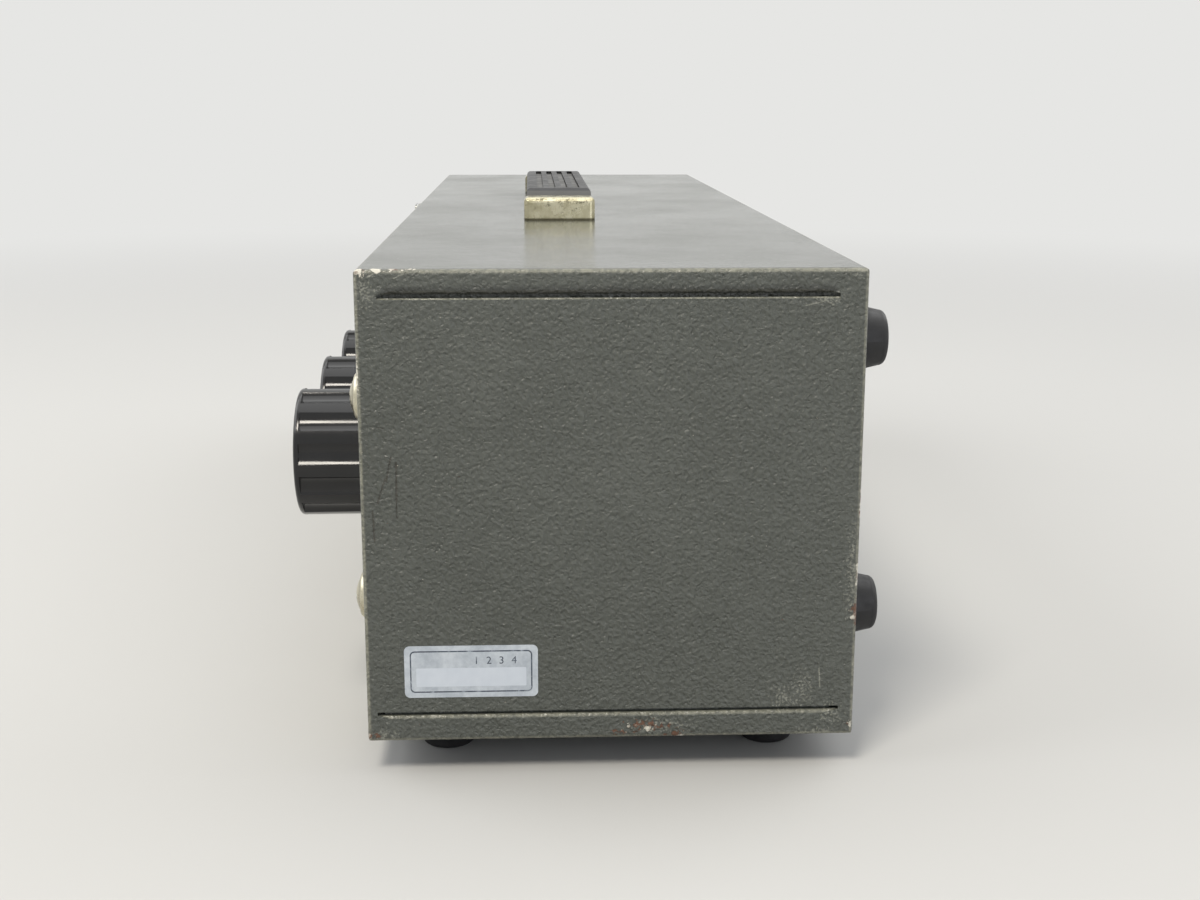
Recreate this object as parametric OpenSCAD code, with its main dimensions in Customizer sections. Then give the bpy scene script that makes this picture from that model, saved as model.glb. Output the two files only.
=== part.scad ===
// Bench function generator in a painted steel case with a 3U, 19-inch front panel.
// The origin is on the surface that it stands on, at the middle of its outline.
// +X is to the user's right, -Y is the front panel's side and +Z is up.

/* [Case] */
// Width of the case, end to end
case_w = 505; // [500:1:520]
// Depth of the case, from its front edge to its rear wall
case_d = 141; // [135:1:160]
// Height of the case without its feet
case_h = 136.5; // [136:0.5:142]
// Thickness of the case's steel sheet
sheet_t = 1.6; // [1.2:0.1:2]
// Outside radius of the case's folds
fold_r = 1.5; // [1:0.1:2]
// Width of the groove between each end panel and the wrapper's flanges
seam_w = 1.0; // [0.8:0.1:1.4]

/* [Feet] */
// Diameter of a rubber foot where it meets the case
foot_d = 19.5; // [16:0.5:22]
// Height of a foot under the case and behind it
foot_h = 10; // [8:0.5:12]

/* [Front panel] */
// Width of the 19-inch panel
panel_w = 482.6; // [480:0.1:483]
// Height of the 3U panel
panel_h = 132.5; // [132:0.1:133]
// Thickness of the panel's aluminium plate
panel_t = 3; // [2.5:0.1:3.2]
// Distance between the two screws at each end of the panel
screw_gap = 59.6; // [57:0.1:62]

/* [Controls] */
// Diameter of a control knob over its ridges
knob_d = 39; // [36:0.5:42]
// How far the knobs stand out of the case's front edge
knob_proud = 23; // [21:0.5:26]
// Number of flutes round a knob
flutes = 12; // [8:1:16]
// Distance from one knob to the next in the row
knob_pitch = 61; // [56:0.5:64]
// Diameter of the frequency dial
dial_d = 94; // [80:1:96]

/* [Handle] */
// Length of the handle over its two end caps
handle_len = 174; // [160:1:190]
// Width of an end cap
handle_w = 26.5; // [24:0.5:30]
// Height of the strap's top over the case
handle_h = 10.9; // [10:0.1:14]

/* [Hidden] */

$fn = 48;

// Case planes
front_y = knob_proud - (knob_proud + case_d + foot_h) / 2;
rear_y = front_y + case_d;
base_z = foot_h;
top_z = base_z + case_h;
end_x = case_w / 2;
mid_y = (front_y + rear_y) / 2;

// Case ends: an end panel lies between the flanges that the wrapper folds over the end
return_w = end_x - panel_w / 2 - 0.5;
seam_low = base_z + 8.6;
seam_high = base_z + 129.1;
seam_high_y = [front_y + 6.2, rear_y - 8];
seam_low_y = [front_y + 3, rear_y - 4.5];
seam_roll = 1.3;
seam_blend = 5;
seam_edge = 0.4;
strip_h = 15;
rear_vent_x = 170;
base_vent_x = 110;
label = [38.2, 15.6, 0.15];
label_at = [front_y + 30.1, base_z + 21.3];

// Front panel
panel_z = base_z + (case_h - panel_h) / 2;
panel_back = front_y + panel_t;
screw_x = 465.1 / 2;
screw_z = [panel_z + (panel_h - screw_gap) / 2, panel_z + (panel_h + screw_gap) / 2];
screw_slot_w = 6.8;
row_z = base_z + 75;
socket_z = base_z + 26;
amplitude_x = end_x - 50;
offset_x = amplitude_x - knob_pitch;
waveform_x = offset_x - knob_pitch;
range_x = waveform_x - knob_pitch;
frequency_x = -85;
control_x = [amplitude_x, offset_x, waveform_x, range_x, frequency_x];
toggle_at = [-196, base_z + 52];
lamp_at = [-196, base_z + 98];
socket_x = [waveform_x, range_x, -163];

// Controls: local z runs out of the panel
fit = 0.03;
shaft_r = 3;
bushing_r = 4.5;
bushing_out = 5;
knob_gap = 1;
knob_lip = 1.6;
flute_depth = 1.25;
flute_r = 5.7;
inlay_r = 15.5;
inlay_t = 0.8;
set_screw_z = 10.5;
set_screw_r = 2;
shaft_end = knob_proud - 5.5;
dial_z = 2.6;
dial_t = 1.6;
dial_dish = 0.4;
big_knob_d = 46;
big_flutes = 14;
cursor_pins = [-4, 4];
cursor_pin_r = 1;

// Chassis
tray_t = 1.5;
tray_x = 222;
tray_z = base_z + 3;
tray_front_h = 36;
tray_rear_h = 16;
tray_screws = [-60, 0, 60];
plate_t = 1.5;
plate_rear = rear_y - sheet_t;
plate_x = 122;
plate_z = [tray_z + 1, top_z - 16];
window_x = 106;
window_z = [base_z + 26, base_z + 110];
inlet_at = [-68, base_z + 68];
fuse_at = [-12, base_z + 68];
ground_at = [28, base_z + 68];
fix_x = 114;
tray_rear_x = fix_x - 6;
fix_z = [base_z + 18, base_z + 118];

// Feet and their screws
foot_in = 24.5;
rear_foot_z = [base_z + 32.5, base_z + 113.5];
bottom_foot_y = [front_y + 22, rear_y - 22];
foot_bore_r = 2.1;

// Handle: local x runs along it, from its middle
handle_y = front_y + 59;
cap_len = 12;
cap_h = 8.5;
cap_wall = 1.5;
strap_w = handle_w - 1.8;
strap_t = 5;
boss_x = handle_len / 2 - 6;
boss_r = 3;

// Circuit board
board = [-100, -24, 190, 62];
board_z = tray_z + tray_t + 9;
board_t = 1.6;

// ---------- shared shapes ----------

// A rectangle with round corners, about its middle.
module round_rect(w, h, r) {
    square([w - 2 * r, h], center = true);
    square([w, h - 2 * r], center = true);
    for (x = [-1, 1], y = [-1, 1])
        translate([x * (w / 2 - r), y * (h / 2 - r)]) circle(r);
}

// A block rounded along all its edges, from corner low to corner high.
module round_block(low, high, r) {
    s = high - low;
    translate((low + high) / 2)
        intersection() {
            linear_extrude(s[2], center = true) round_rect(s[0], s[1], r);
            rotate([90, 0, 0]) linear_extrude(s[1], center = true) round_rect(s[0], s[2], r);
            rotate([90, 0, 90]) linear_extrude(s[0], center = true) round_rect(s[1], s[2], r);
        }
}

// A block between two corners.
module block(low, high) {
    translate(low) cube(high - low);
}

// A tube about z, from z = 0.
module tube(outer, inner, h) {
    difference() {
        cylinder(r = outer, h = h);
        translate([0, 0, -1]) cylinder(r = inner, h = h + 2);
    }
}

// A hexagonal nut about z, from z = 0.
module hex_nut(across, bore, h) {
    difference() {
        cylinder(d = across / cos(30), h = h, $fn = 6);
        translate([0, 0, -1]) cylinder(r = bore, h = h + 2);
    }
}

// A cross recess for a screwdriver, cut downwards from z = 0.
module cross_recess(span, depth) {
    for (a = [0, 90])
        rotate(a) translate([-span / 2, -span / 8, -depth]) cube([span, span / 4, depth + 4]);
}

// A pan-head screw: its head stands on z = 0 and its shank hangs below.
module pan_screw(r, len, head_r, head_h) {
    difference() {
        union() {
            translate([0, 0, -len]) cylinder(r = r, h = len + 0.1);
            rotate_extrude()
                polygon([
                    [0, 0], [head_r, 0], [head_r, head_h * 0.45],
                    for (a = [15:15:90]) [head_r * (0.62 + 0.38 * cos(a)), head_h * (0.45 + 0.55 * sin(a))],
                    [0, head_h]
                ]);
        }
        translate([0, 0, head_h]) cross_recess(head_r * 1.1, head_h * 0.55);
    }
}

// Puts its children on the panel's face, with their z running out of it.
module on_panel(x, z) {
    translate([x, front_y, z]) rotate([90, 0, 0]) children();
}

// Puts its children on the rear plate's face, with their z running out of it.
module on_plate(at) {
    translate([at[0], plate_rear, at[1]]) rotate([-90, 0, 0]) children();
}

// Puts its children at the four feet under the case, hanging down.
module at_bottom_feet() {
    for (x = [-1, 1], y = bottom_foot_y)
        translate([x * (end_x - foot_in), y, base_z]) rotate([180, 0, 0]) children();
}

// Puts its children at the four feet behind the case, pointing back.
module at_rear_feet() {
    for (x = [-1, 1], z = rear_foot_z)
        translate([x * (end_x - foot_in), rear_y, z]) rotate([-90, 0, 0]) children();
}

// Puts its children at the panel's four screw slots, with their z running out of the panel.
module at_panel_slots() {
    for (x = [-1, 1], z = screw_z) on_panel(x * screw_x, z) children();
}

// Puts its children at the four screws that hold the chassis to the case's rear wall.
module at_chassis_fixings() {
    for (x = [-1, 1], z = fix_z)
        translate([x * fix_x, rear_y, z]) rotate([-90, 0, 0]) children();
}

// ---------- case ----------

// The air of one seam: a groove through the sheet, along an edge of the wrapper's flange that is
// rolled inwards and runs out flat at both ends. The flange lies above the upper seam, and below the
// lower one, which is flipped. The end panel's own edge can be eased by a small chamfer.
module seam_void(z, y, flip, edge) {
    half = seam_w / 2;
    crest = half + seam_roll;
    translate([0, 0, z])
        mirror([0, 0, flip]) {
            translate([0, y[1], 0])
                rotate([90, 0, 0])
                    linear_extrude(y[1] - y[0])
                        polygon([
                            [1, half], [-sheet_t, half], [-sheet_t, -half], [-edge, -half],
                            [1, -half - edge - 1]
                        ]);
            intersection() {
                translate([0, y[1], 0])
                    rotate([90, 0, 0])
                        linear_extrude(y[1] - y[0])
                            difference() {
                                translate([-seam_roll, half - 0.1]) square([seam_roll + 1, seam_roll + 0.1]);
                                translate([-seam_roll, crest]) circle(seam_roll);
                            }
                translate([-seam_roll, 0, 0])
                    rotate([90, 0, 90])
                        linear_extrude(seam_roll + 1)
                            polygon([
                                [y[0], 0], [y[0], half], [y[0] + seam_blend, crest],
                                [y[1] - seam_blend, crest], [y[1], half], [y[1], 0]
                            ]);
            }
        }
}

module seam_voids() {
    for (s = [0, 1])
        mirror([s, 0, 0]) translate([end_x, 0, 0]) {
            seam_void(seam_high, seam_high_y, 0, seam_edge);
            seam_void(seam_low, seam_low_y, 1, 0);
        }
}

// The whole sheet skin, with the returns that close the mouth's two ends.
module case_skin() {
    difference() {
        round_block([-end_x, front_y, base_z], [end_x, rear_y, top_z], fold_r);
        block([-end_x + sheet_t, front_y - 1, base_z + sheet_t],
              [end_x - sheet_t, rear_y - sheet_t, top_z - sheet_t]);
    }
    for (s = [-1, 1])
        translate([s > 0 ? end_x - return_w : -end_x + sheet_t - 0.1, front_y, base_z + sheet_t - 0.1])
            cube([return_w - sheet_t + 0.1, sheet_t, case_h - 2 * sheet_t + 0.2]);
}

module end_region(s) {
    x = s > 0 ? end_x - return_w : -end_x - 1;
    translate([x, front_y - 1, seam_low]) cube([return_w + 1, case_d - sheet_t - 1, seam_high - seam_low]);
    edge = s > 0 ? end_x - sheet_t : -end_x - 1;
    translate([edge, front_y, seam_low]) cube([sheet_t + 1, case_d + 1, seam_high - seam_low]);
}

// A row of n slots through a wall, about the row's middle.
module vent_row(n, pitch, w, len) {
    for (i = [0:n - 1])
        translate([(i - (n - 1) / 2) * pitch, 0, 0])
            linear_extrude(20, center = true) round_rect(w, len, w / 2 - 0.01);
}

module case_wrapper() {
    color("#6b6b60")
        difference() {
            case_skin();
            for (s = [-1, 1]) end_region(s);
            seam_voids();
            at_bottom_feet() translate([0, 0, -5]) cylinder(r = foot_bore_r, h = 6);
            at_rear_feet() translate([0, 0, -5]) cylinder(r = foot_bore_r, h = 6);
            at_chassis_fixings() translate([0, 0, -5]) cylinder(r = foot_bore_r, h = 6);
            for (s = [-1, 1]) translate([s * boss_x, handle_y, top_z - 5]) cylinder(r = 2.2, h = 6);
            block([-window_x, rear_y - 5, window_z[0]], [window_x, rear_y + 5, window_z[1]]);
            for (s = [-1, 1]) {
                translate([s * rear_vent_x, rear_y, base_z + 74]) rotate([90, 0, 0]) vent_row(9, 8, 3, 58);
                translate([s * base_vent_x, mid_y, base_z]) vent_row(11, 9, 3.6, 60);
            }
        }
}

// One end of the case: its sheet, folded back at the mouth, and the strips behind the two seams.
module end_panel(s) {
    color("#6b6b60") {
        difference() {
            intersection() {
                case_skin();
                end_region(s);
            }
            seam_voids();
        }
        x = s > 0 ? end_x - 2 * sheet_t : -end_x + sheet_t;
        for (z = [base_z + sheet_t, top_z - sheet_t - strip_h])
            translate([x, front_y + 5, z]) cube([sheet_t, case_d - 12, strip_h]);
    }
}

// Angles welded inside the ends, between the strips and behind the panel, with its screws' holes.
module panel_rails() {
    low = base_z + sheet_t + strip_h;
    high = top_z - sheet_t - strip_h;
    color("#8d9094")
        for (s = [-1, 1])
            difference() {
                union() {
                    x0 = s > 0 ? screw_x - 9 : -(end_x - sheet_t);
                    translate([x0, panel_back, low]) cube([end_x - sheet_t - screw_x + 9, 1.6, high - low]);
                    x1 = s > 0 ? end_x - 2 * sheet_t : -(end_x - sheet_t);
                    translate([x1, panel_back, low]) cube([sheet_t, 16, high - low]);
                }
                for (z = screw_z)
                    translate([s * screw_x, panel_back - 1, z]) rotate([-90, 0, 0]) cylinder(r = 3.2, h = 4);
            }
}

module panel_nuts() {
    color("#a8a598")
        for (x = [-1, 1], z = screw_z)
            translate([x * screw_x, panel_back + 1.6, z]) rotate([-90, 0, 0]) hex_nut(10, 3, 5);
}

cup_r = 7.1;
cup_h = 2.8;
cup_roll = 1.8;
cup_seat = [[3.3, 0.6], [5.1, cup_h]];

// Finishing washers, pressed with a rolled rim and a cone for the screw's head.
module cup_washers() {
    color("#cfc9b4")
        at_panel_slots()
            rotate_extrude()
                polygon([
                    [cup_seat[0][0], 0], [cup_r - 0.5, 0], [cup_r, 0.5],
                    for (a = [0:15:75]) [cup_r + cup_roll * (cos(a) - 1), 0.9 + (cup_h - 0.9) * sin(a)],
                    cup_seat[1], cup_seat[0]
                ]);
}

// Oval-head screws: the head's cone lies in the washer and its crown stands out.
module panel_screws() {
    head_r = cup_seat[1][0];
    crown = 1.4;
    crown_r = (head_r * head_r + crown * crown) / (2 * crown);
    color("#d8d3c0")
        at_panel_slots()
            difference() {
                rotate_extrude()
                    polygon([
                        [0, -14], [2.3, -14], [3, -13], [3, cup_seat[0][1] - 0.3], cup_seat[0],
                        for (i = [10:-1:0])
                            let (a = asin(head_r / crown_r) * i / 10)
                                [crown_r * sin(a), cup_h + crown - crown_r * (1 - cos(a))]
                    ]);
                translate([0, 0, cup_h + crown]) cross_recess(5.2, 2);
            }
}

// ---------- feet ----------

// A moulded rubber foot about z, with a well for its screw.
module foot() {
    r = foot_d / 2;
    tip = r - 1.6;
    soft = 2;
    well_r = 4.4;
    rotate_extrude()
        polygon([
            [foot_bore_r, 0], [r, 0], [r, 1.2],
            for (a = [0:15:90]) [tip - soft + soft * cos(a), foot_h - soft + soft * sin(a)],
            [well_r, foot_h], [well_r, 4], [foot_bore_r, 4]
        ]);
}

module bottom_feet() {
    color("#1c1c1e") at_bottom_feet() foot();
}

module rear_feet() {
    color("#1c1c1e") at_rear_feet() foot();
}

module foot_screws() {
    color("#9a9a94") {
        at_bottom_feet() translate([0, 0, 4]) pan_screw(2, 9, 4, 2.6);
        at_rear_feet() translate([0, 0, 4]) pan_screw(2, 9, 4, 2.6);
    }
}

// ---------- handle ----------

function ease(t) = (1 - cos(180 * t)) / 2;

// The strap's outline from the side, from its middle to its right end.
end_in = handle_len / 2 - cap_len;
tip_x = handle_len / 2 - cap_wall - 0.6;
end_top = 6.6;
end_low = 2.6;
top_edge = [for (i = [0:10]) [end_in - 9 + 9 * i / 10, handle_h + (end_top - handle_h) * ease(i / 10)]];
low_edge = [
    for (i = [10:-1:0])
        [end_in - 12 + 11 * i / 10, handle_h - strap_t + (end_low - handle_h + strap_t) * ease(i / 10)]
];
strap_side = concat(top_edge, [[tip_x, end_top], [tip_x, end_low]], low_edge);

// The moulded strap: two thin ends under the caps, and a thicker grip with four grooves.
module handle_strap() {
    groove_w = 2.4;
    groove_pitch = 4.7;
    groove_len = 2 * (end_in - 11);
    color("#202024")
        translate([0, handle_y, top_z])
            difference() {
                intersection() {
                    rotate([90, 0, 0])
                        linear_extrude(strap_w, center = true)
                            polygon(concat(
                                strap_side,
                                [for (i = [len(strap_side) - 1:-1:0]) [-strap_side[i][0], strap_side[i][1]]]
                            ));
                    rotate([90, 0, 90])
                        linear_extrude(handle_len + 2, center = true)
                            translate([0, handle_h / 2]) round_rect(strap_w, handle_h, 1.8);
                }
                for (i = [-1.5:1:1.5])
                    translate([0, i * groove_pitch, handle_h - 1.1])
                        linear_extrude(3) round_rect(groove_len, groove_w, groove_w / 2 - 0.01);
                for (s = [-1, 1])
                    translate([s * (boss_x - 1.5), 0, 0])
                        linear_extrude(handle_h) round_rect(11, 2 * boss_r + 1, boss_r + 0.49);
            }
}

// The plated end caps over the strap's ends, with the bosses that the strap pulls against.
module handle_caps() {
    side = handle_w / 2;
    color("#cfccc0")
        for (s = [0, 1])
            translate([0, handle_y, top_z]) mirror([s, 0, 0])
                difference() {
                    union() {
                        difference() {
                            intersection() {
                                round_block([end_in - 5, -side, -4], [handle_len / 2, side, cap_h], 1.9);
                                translate([end_in, -side, 0]) cube([cap_len, handle_w, cap_h]);
                            }
                            translate([end_in - 1, -strap_w / 2 - 0.1, -1])
                                cube([cap_len - cap_wall + 1, strap_w + 0.2, cap_h - cap_wall + 1]);
                        }
                        translate([boss_x, 0, 0]) cylinder(r = boss_r, h = cap_h - cap_wall + 0.5);
                    }
                    translate([boss_x, 0, -1]) cylinder(r = 2 + fit, h = 7);
                }
}

module handle_screws() {
    color("#9a9a94")
        for (s = [-1, 1])
            translate([s * boss_x, handle_y, top_z - sheet_t]) rotate([180, 0, 0]) pan_screw(2, 7, 4, 2.6);
}

// The blank sticker on the right end.
module asset_label() {
    color("#c9d2dc")
        translate([end_x, label_at[0], label_at[1]])
            rotate([90, 0, 90]) linear_extrude(label[2]) round_rect(label[0], label[1], 1.6);
}

// ---------- front panel and chassis ----------

module control_hole(x, z, r) {
    on_panel(x, z) translate([0, 0, -panel_t - 3]) cylinder(r = r, h = panel_t + 6);
}

module front_panel() {
    color("#c9c8bf")
        difference() {
            block([-panel_w / 2, front_y, panel_z], [panel_w / 2, panel_back, panel_z + panel_h]);
            for (x = control_x) control_hole(x, row_z, bushing_r + 0.1);
            for (x = socket_x) control_hole(x, socket_z, 6.4);
            control_hole(lamp_at[0], lamp_at[1], 4.6);
            control_hole(toggle_at[0], toggle_at[1], 6.1);
            for (s = [-1, 1], z = screw_z) {
                control_hole(s * screw_x, z, screw_slot_w / 2);
                x = s > 0 ? screw_x : -panel_w / 2 - 1;
                translate([x, front_y - 1, z - screw_slot_w / 2])
                    cube([panel_w / 2 - screw_x + 1, panel_t + 2, screw_slot_w]);
            }
            for (x = cursor_pins) control_hole(frequency_x + x, row_z + dial_d / 2 + 6, cursor_pin_r);
        }
}

// The tray that carries the insides: its front flange is clamped to the panel by the sockets.
module chassis_tray() {
    y0 = panel_back;
    y1 = plate_rear - plate_t;
    color("#b9bcbf")
        difference() {
            union() {
                block([-tray_x, y0, tray_z], [tray_x, y1, tray_z + tray_t]);
                block([-tray_x, y0, tray_z], [tray_x, y0 + tray_t, tray_z + tray_front_h]);
                block([-tray_rear_x, y1 - tray_t, tray_z], [tray_rear_x, y1, tray_z + tray_rear_h]);
            }
            for (x = socket_x) control_hole(x, socket_z, 6.4);
            for (x = tray_screws)
                translate([x, y1 - 3, tray_z + 10]) rotate([-90, 0, 0]) cylinder(r = 1.6, h = 6);
            for (p = board_fixings()) translate([p[0], p[1], tray_z - 1]) cylinder(r = 1.6, h = 4);
            for (s = [-1, 1])
                translate([transformer_x + s * foot_span, transformer_y, tray_z - 1]) cylinder(r = 2, h = 4);
            for (x = [-190, -175]) translate([x, -20, tray_z - 1]) linear_extrude(5) round_rect(5, 30, 2.49);
        }
}

module rear_plate() {
    color("#b9bcbf")
        difference() {
            block([-plate_x, plate_rear - plate_t, plate_z[0]], [plate_x, plate_rear, plate_z[1]]);
            at_chassis_fixings() translate([0, 0, -8]) cylinder(r = 2, h = 10);
            for (x = tray_screws)
                translate([x, plate_rear - 3, tray_z + 10]) rotate([-90, 0, 0]) cylinder(r = 1.5, h = 6);
            on_plate(inlet_at) {
                translate([0, 0, -5])
                    linear_extrude(10) square([inlet_body[0] + 0.4, inlet_body[1] + 0.4], center = true);
                for (x = inlet_screws) translate([x, 0, -5]) cylinder(r = inlet_screw_r, h = 10);
            }
            on_plate(fuse_at) translate([0, 0, -5]) cylinder(r = 6.1, h = 10);
            on_plate(ground_at) translate([0, 0, -5]) cylinder(r = 2, h = 10);
        }
}

// Pan-head screws of the chassis: four through the case's rear wall, three in the tray's rear
// flange, two in the power inlet, two in the transformer's feet and four in the circuit board.
module chassis_screws() {
    color("#b3b0a4") {
        at_chassis_fixings() pan_screw(2, 6, 4, 2.6);
        for (x = tray_screws)
            translate([x, plate_rear - plate_t - tray_t, tray_z + 10])
                rotate([90, 0, 0]) pan_screw(1.5, 2.8, 2.8, 2);
        on_plate(inlet_at)
            for (x = inlet_screws) translate([x, 0, 2.6]) pan_screw(inlet_screw_r, 7, 2.8, 1.8);
        for (s = [-1, 1])
            translate([transformer_x + s * foot_span, transformer_y, transformer_z + strap_sheet_t])
                pan_screw(2, 3.6, 4, 2.6);
        for (p = board_fixings()) translate([p[0], p[1], board_z + board_t]) pan_screw(1.5, 6, 2.8, 2);
    }
}

// ---------- rear plate fittings ----------

fuse_r = 3.2;
fuse_len = 31.8;
fuse_bore_r = 4.6;
inlet_body = [27.6, 20];
inlet_screws = [-20, 20];
inlet_screw_r = 1.6;

module power_inlet() {
    color("#222224")
        on_plate(inlet_at)
            difference() {
                union() {
                    linear_extrude(2.6) intersection() {
                        round_rect(50, 23.5, 3);
                        rotate(45) square(42.5, center = true);
                    }
                    translate([0, 0, -17]) linear_extrude(17.5) square(inlet_body, center = true);
                }
                translate([0, 0, -14])
                    linear_extrude(20)
                        polygon([
                            [-12.2, -8.4], [12.2, -8.4], [12.2, 4.4], [8, 8.4], [-8, 8.4], [-12.2, 4.4]
                        ]);
                for (x = inlet_screws) translate([x, 0, -5]) cylinder(r = inlet_screw_r, h = 10);
                for (p = inlet_blades()) translate([p[0] - 2, p[1] - 1, -18]) cube([4, 2, 6]);
            }
}

function inlet_blades() = [[-7, 2.2], [7, 2.2], [0, -1.8]];

module inlet_pins() {
    color("#c8b98a")
        on_plate(inlet_at)
            for (p = inlet_blades()) translate([p[0] - 2, p[1] - 1, -24]) cube([4, 2, 21]);
}

module fuse_holder() {
    color("#242426")
        on_plate(fuse_at)
            difference() {
                union() {
                    cylinder(r = 8.5, h = 2.2);
                    translate([0, 0, -43]) cylinder(r = 6, h = 44);
                    translate([0, 0, -plate_t - 4.5]) cylinder(d = 17, h = 4.5, $fn = 6);
                    translate([-1.5, -0.4, -50]) cube([3, 0.8, 8]);
                }
                translate([0, 0, -40]) cylinder(r = fuse_bore_r, h = 50);
            }
}

// The bayonet cap, with the socket that grips the fuse's front end.
module fuse_cap() {
    color("#2b2b2e")
        on_plate(fuse_at)
            difference() {
                union() {
                    translate([0, 0, 2.6])
                        rotate_extrude() polygon([[0, 0], [6.4, 0], [6.4, 4.6], [5.6, 5.6], [0, 5.6]]);
                    translate([0, 0, -14]) cylinder(r = fuse_bore_r - 0.05, h = 17);
                }
                translate([0, 0, -15]) cylinder(r = fuse_r, h = 9);
                translate([0, 0, 7.4]) cube([9.5, 1.4, 2.4], center = true);
                for (a = [0:30:330]) rotate(a) translate([6.9, 0, 4]) cylinder(r = 0.9, h = 6);
            }
}

// A glass fuse with its two metal ends.
module fuse() {
    near = -6;
    far = near - fuse_len;
    glass_r = fuse_r - 0.3;
    color("#d5d6d2")
        on_plate(fuse_at)
            rotate_extrude()
                polygon([
                    [0, far], [fuse_r, far], [fuse_r, far + 6], [glass_r, far + 6],
                    [glass_r, near - 6], [fuse_r, near - 6], [fuse_r, near], [0, near]
                ]);
}

module ground_terminal() {
    color("#c2a65a")
        on_plate(ground_at) {
            pan_screw(2, 9, 4, 2.6);
            translate([0, 0, -plate_t - 3.2]) hex_nut(7, 2, 3.2);
        }
}

// ---------- power supply ----------

transformer_x = -160;
transformer_y = 26;
transformer_z = tray_z + tray_t;
core = [66, 24, 55];
core_window = [11, 33];
foot_span = 39;
strap_sheet_t = 1.2;

// A stack of E and I laminations with the two windows that the winding fills.
module transformer_core() {
    color("#55575c")
        translate([transformer_x, transformer_y, transformer_z + strap_sheet_t + core[2] / 2])
            rotate([90, 0, 0])
                linear_extrude(core[1], center = true)
                    difference() {
                        square([core[0], core[2]], center = true);
                        for (s = [-1, 1]) translate([s * core[0] / 4, 0]) square(core_window, center = true);
                    }
}

module transformer_winding() {
    color("#c9a24a")
        translate([transformer_x, transformer_y, transformer_z + strap_sheet_t + core[2] / 2])
            difference() {
                linear_extrude(32.6, center = true) round_rect(43.6, 46, 6);
                translate([0, 0, -20]) linear_extrude(40) square([22, core[1]], center = true);
            }
}

// The strap that clamps the core and carries its two feet.
module transformer_frame() {
    t = strap_sheet_t;
    w = core[1] - 6;
    side = core[0] / 2;
    color("#9a9da1")
        translate([transformer_x, transformer_y, transformer_z])
            difference() {
                union() {
                    for (z = [0, core[2] + t]) translate([-side, -w / 2, z]) cube([2 * side, w, t]);
                    for (s = [0, 1]) mirror([s, 0, 0]) {
                        translate([side, -w / 2, 0]) cube([t, w, core[2] + 2 * t]);
                        translate([side, -w / 2, 0]) cube([13, w, t]);
                    }
                }
                for (s = [-1, 1]) translate([s * foot_span, 0, -1]) cylinder(r = 2, h = 4);
            }
}

// ---------- circuit board ----------

function board_fixings() = [for (x = [board[0] + 6, board[2] - 6], y = [board[1] + 6, board[3] - 6]) [x, y]];

module circuit_board() {
    color("#3f5b2c")
        difference() {
            block([board[0], board[1], board_z], [board[2], board[3], board_z + board_t]);
            for (p = board_fixings()) translate([p[0], p[1], board_z - 1]) cylinder(r = 1.6, h = 4);
        }
}

module board_standoffs() {
    color("#b9a468")
        for (p = board_fixings())
            translate([p[0], p[1], tray_z + tray_t]) hex_nut(5.5, 1.5, board_z - tray_z - tray_t);
}

board_top = board_z + board_t;

// Dual in-line packages with their two rows of legs.
module board_ics() {
    color("#2a2a2c")
        for (i = [0:5])
            translate([40 + 25 * (i % 3), 2 + 26 * floor(i / 3), board_top]) {
                translate([-9.5, -3.2, 0.6]) cube([19, 6.4, 3.4]);
                for (x = [-7.6:2.54:7.7], s = [-1, 1])
                    translate([x - 0.3, s > 0 ? 3.1 : -3.8, 0]) cube([0.6, 0.7, 2.2]);
            }
}

// Electrolytic cans: two reservoirs and a row of smaller ones.
module board_capacitors() {
    color("#3d5f8a") {
        for (i = [0, 1]) translate([-80 + 24 * i, 34, board_top]) can(9, 34);
        for (i = [0:4]) translate([-80 + 15 * i, 4, board_top]) can(5, 14);
    }
}

module can(r, h) {
    rotate_extrude()
        polygon([
            [0, 0], [r, 0], [r, 2.2], [r - 0.5, 2.8], [r, 3.4], [r, h - 0.8], [r - 0.8, h],
            [r - 1.6, h], [r - 1.9, h - 0.4], [0, h - 0.4]
        ]);
}

// A finned extrusion that stands on the board and cools the two regulators.
module heat_sink() {
    color("#2f3032")
        translate([140, 40, board_top]) {
            block([-30, -1.5, 0], [30, 1.5, 30]);
            for (x = [-29:7.25:29.1]) translate([x - 0.7, 1.4, 0]) cube([1.4, 14, 30]);
        }
}

module regulators() {
    color("#26262a")
        for (x = [-14, 14])
            translate([140 + x, 38.5, board_top]) {
                block([-5, -1.3, 14], [5, 0, 28]);
                block([-5, -4.4, 8], [5, 0, 18]);
                for (i = [-2.54, 0, 2.54]) translate([i - 0.4, -3, 0]) cube([0.8, 0.6, 9]);
            }
}

// ---------- switches, potentiometers and sockets ----------

// The bore that a control's shaft turns in, with running clearance.
module shaft_bore(depth) {
    translate([0, 0, -depth]) cylinder(r = shaft_r + 0.05, h = depth + 20);
}

// A control's threaded bushing, from the panel's back to in front of it.
module bushing() {
    translate([0, 0, -panel_t - 0.1]) cylinder(r = bushing_r, h = panel_t + 0.1 + bushing_out);
}

// Local z = 0 is the panel's face.
module potentiometer() {
    difference() {
        union() {
            bushing();
            translate([0, 0, -panel_t - 12])
                rotate_extrude()
                    polygon([[0, 0], [11, 0], [12, 1], [12, 9.6], [11, 9.6], [11, 12], [0, 12]]);
            for (a = [-18, 0, 18])
                rotate(a) translate([-1.2, -18, -panel_t - 3.6]) cube([2.4, 8, 0.8]);
        }
        shaft_bore(panel_t + 9);
    }
}

module potentiometers() {
    color("#a9acae")
        for (x = [amplitude_x, offset_x, frequency_x]) on_panel(x, row_z) potentiometer();
}

wafer_z = [-panel_t - 16, -panel_t - 26];
wafer_t = 1.6;
wafer_bore_r = 6;
detent_h = 6;

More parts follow.
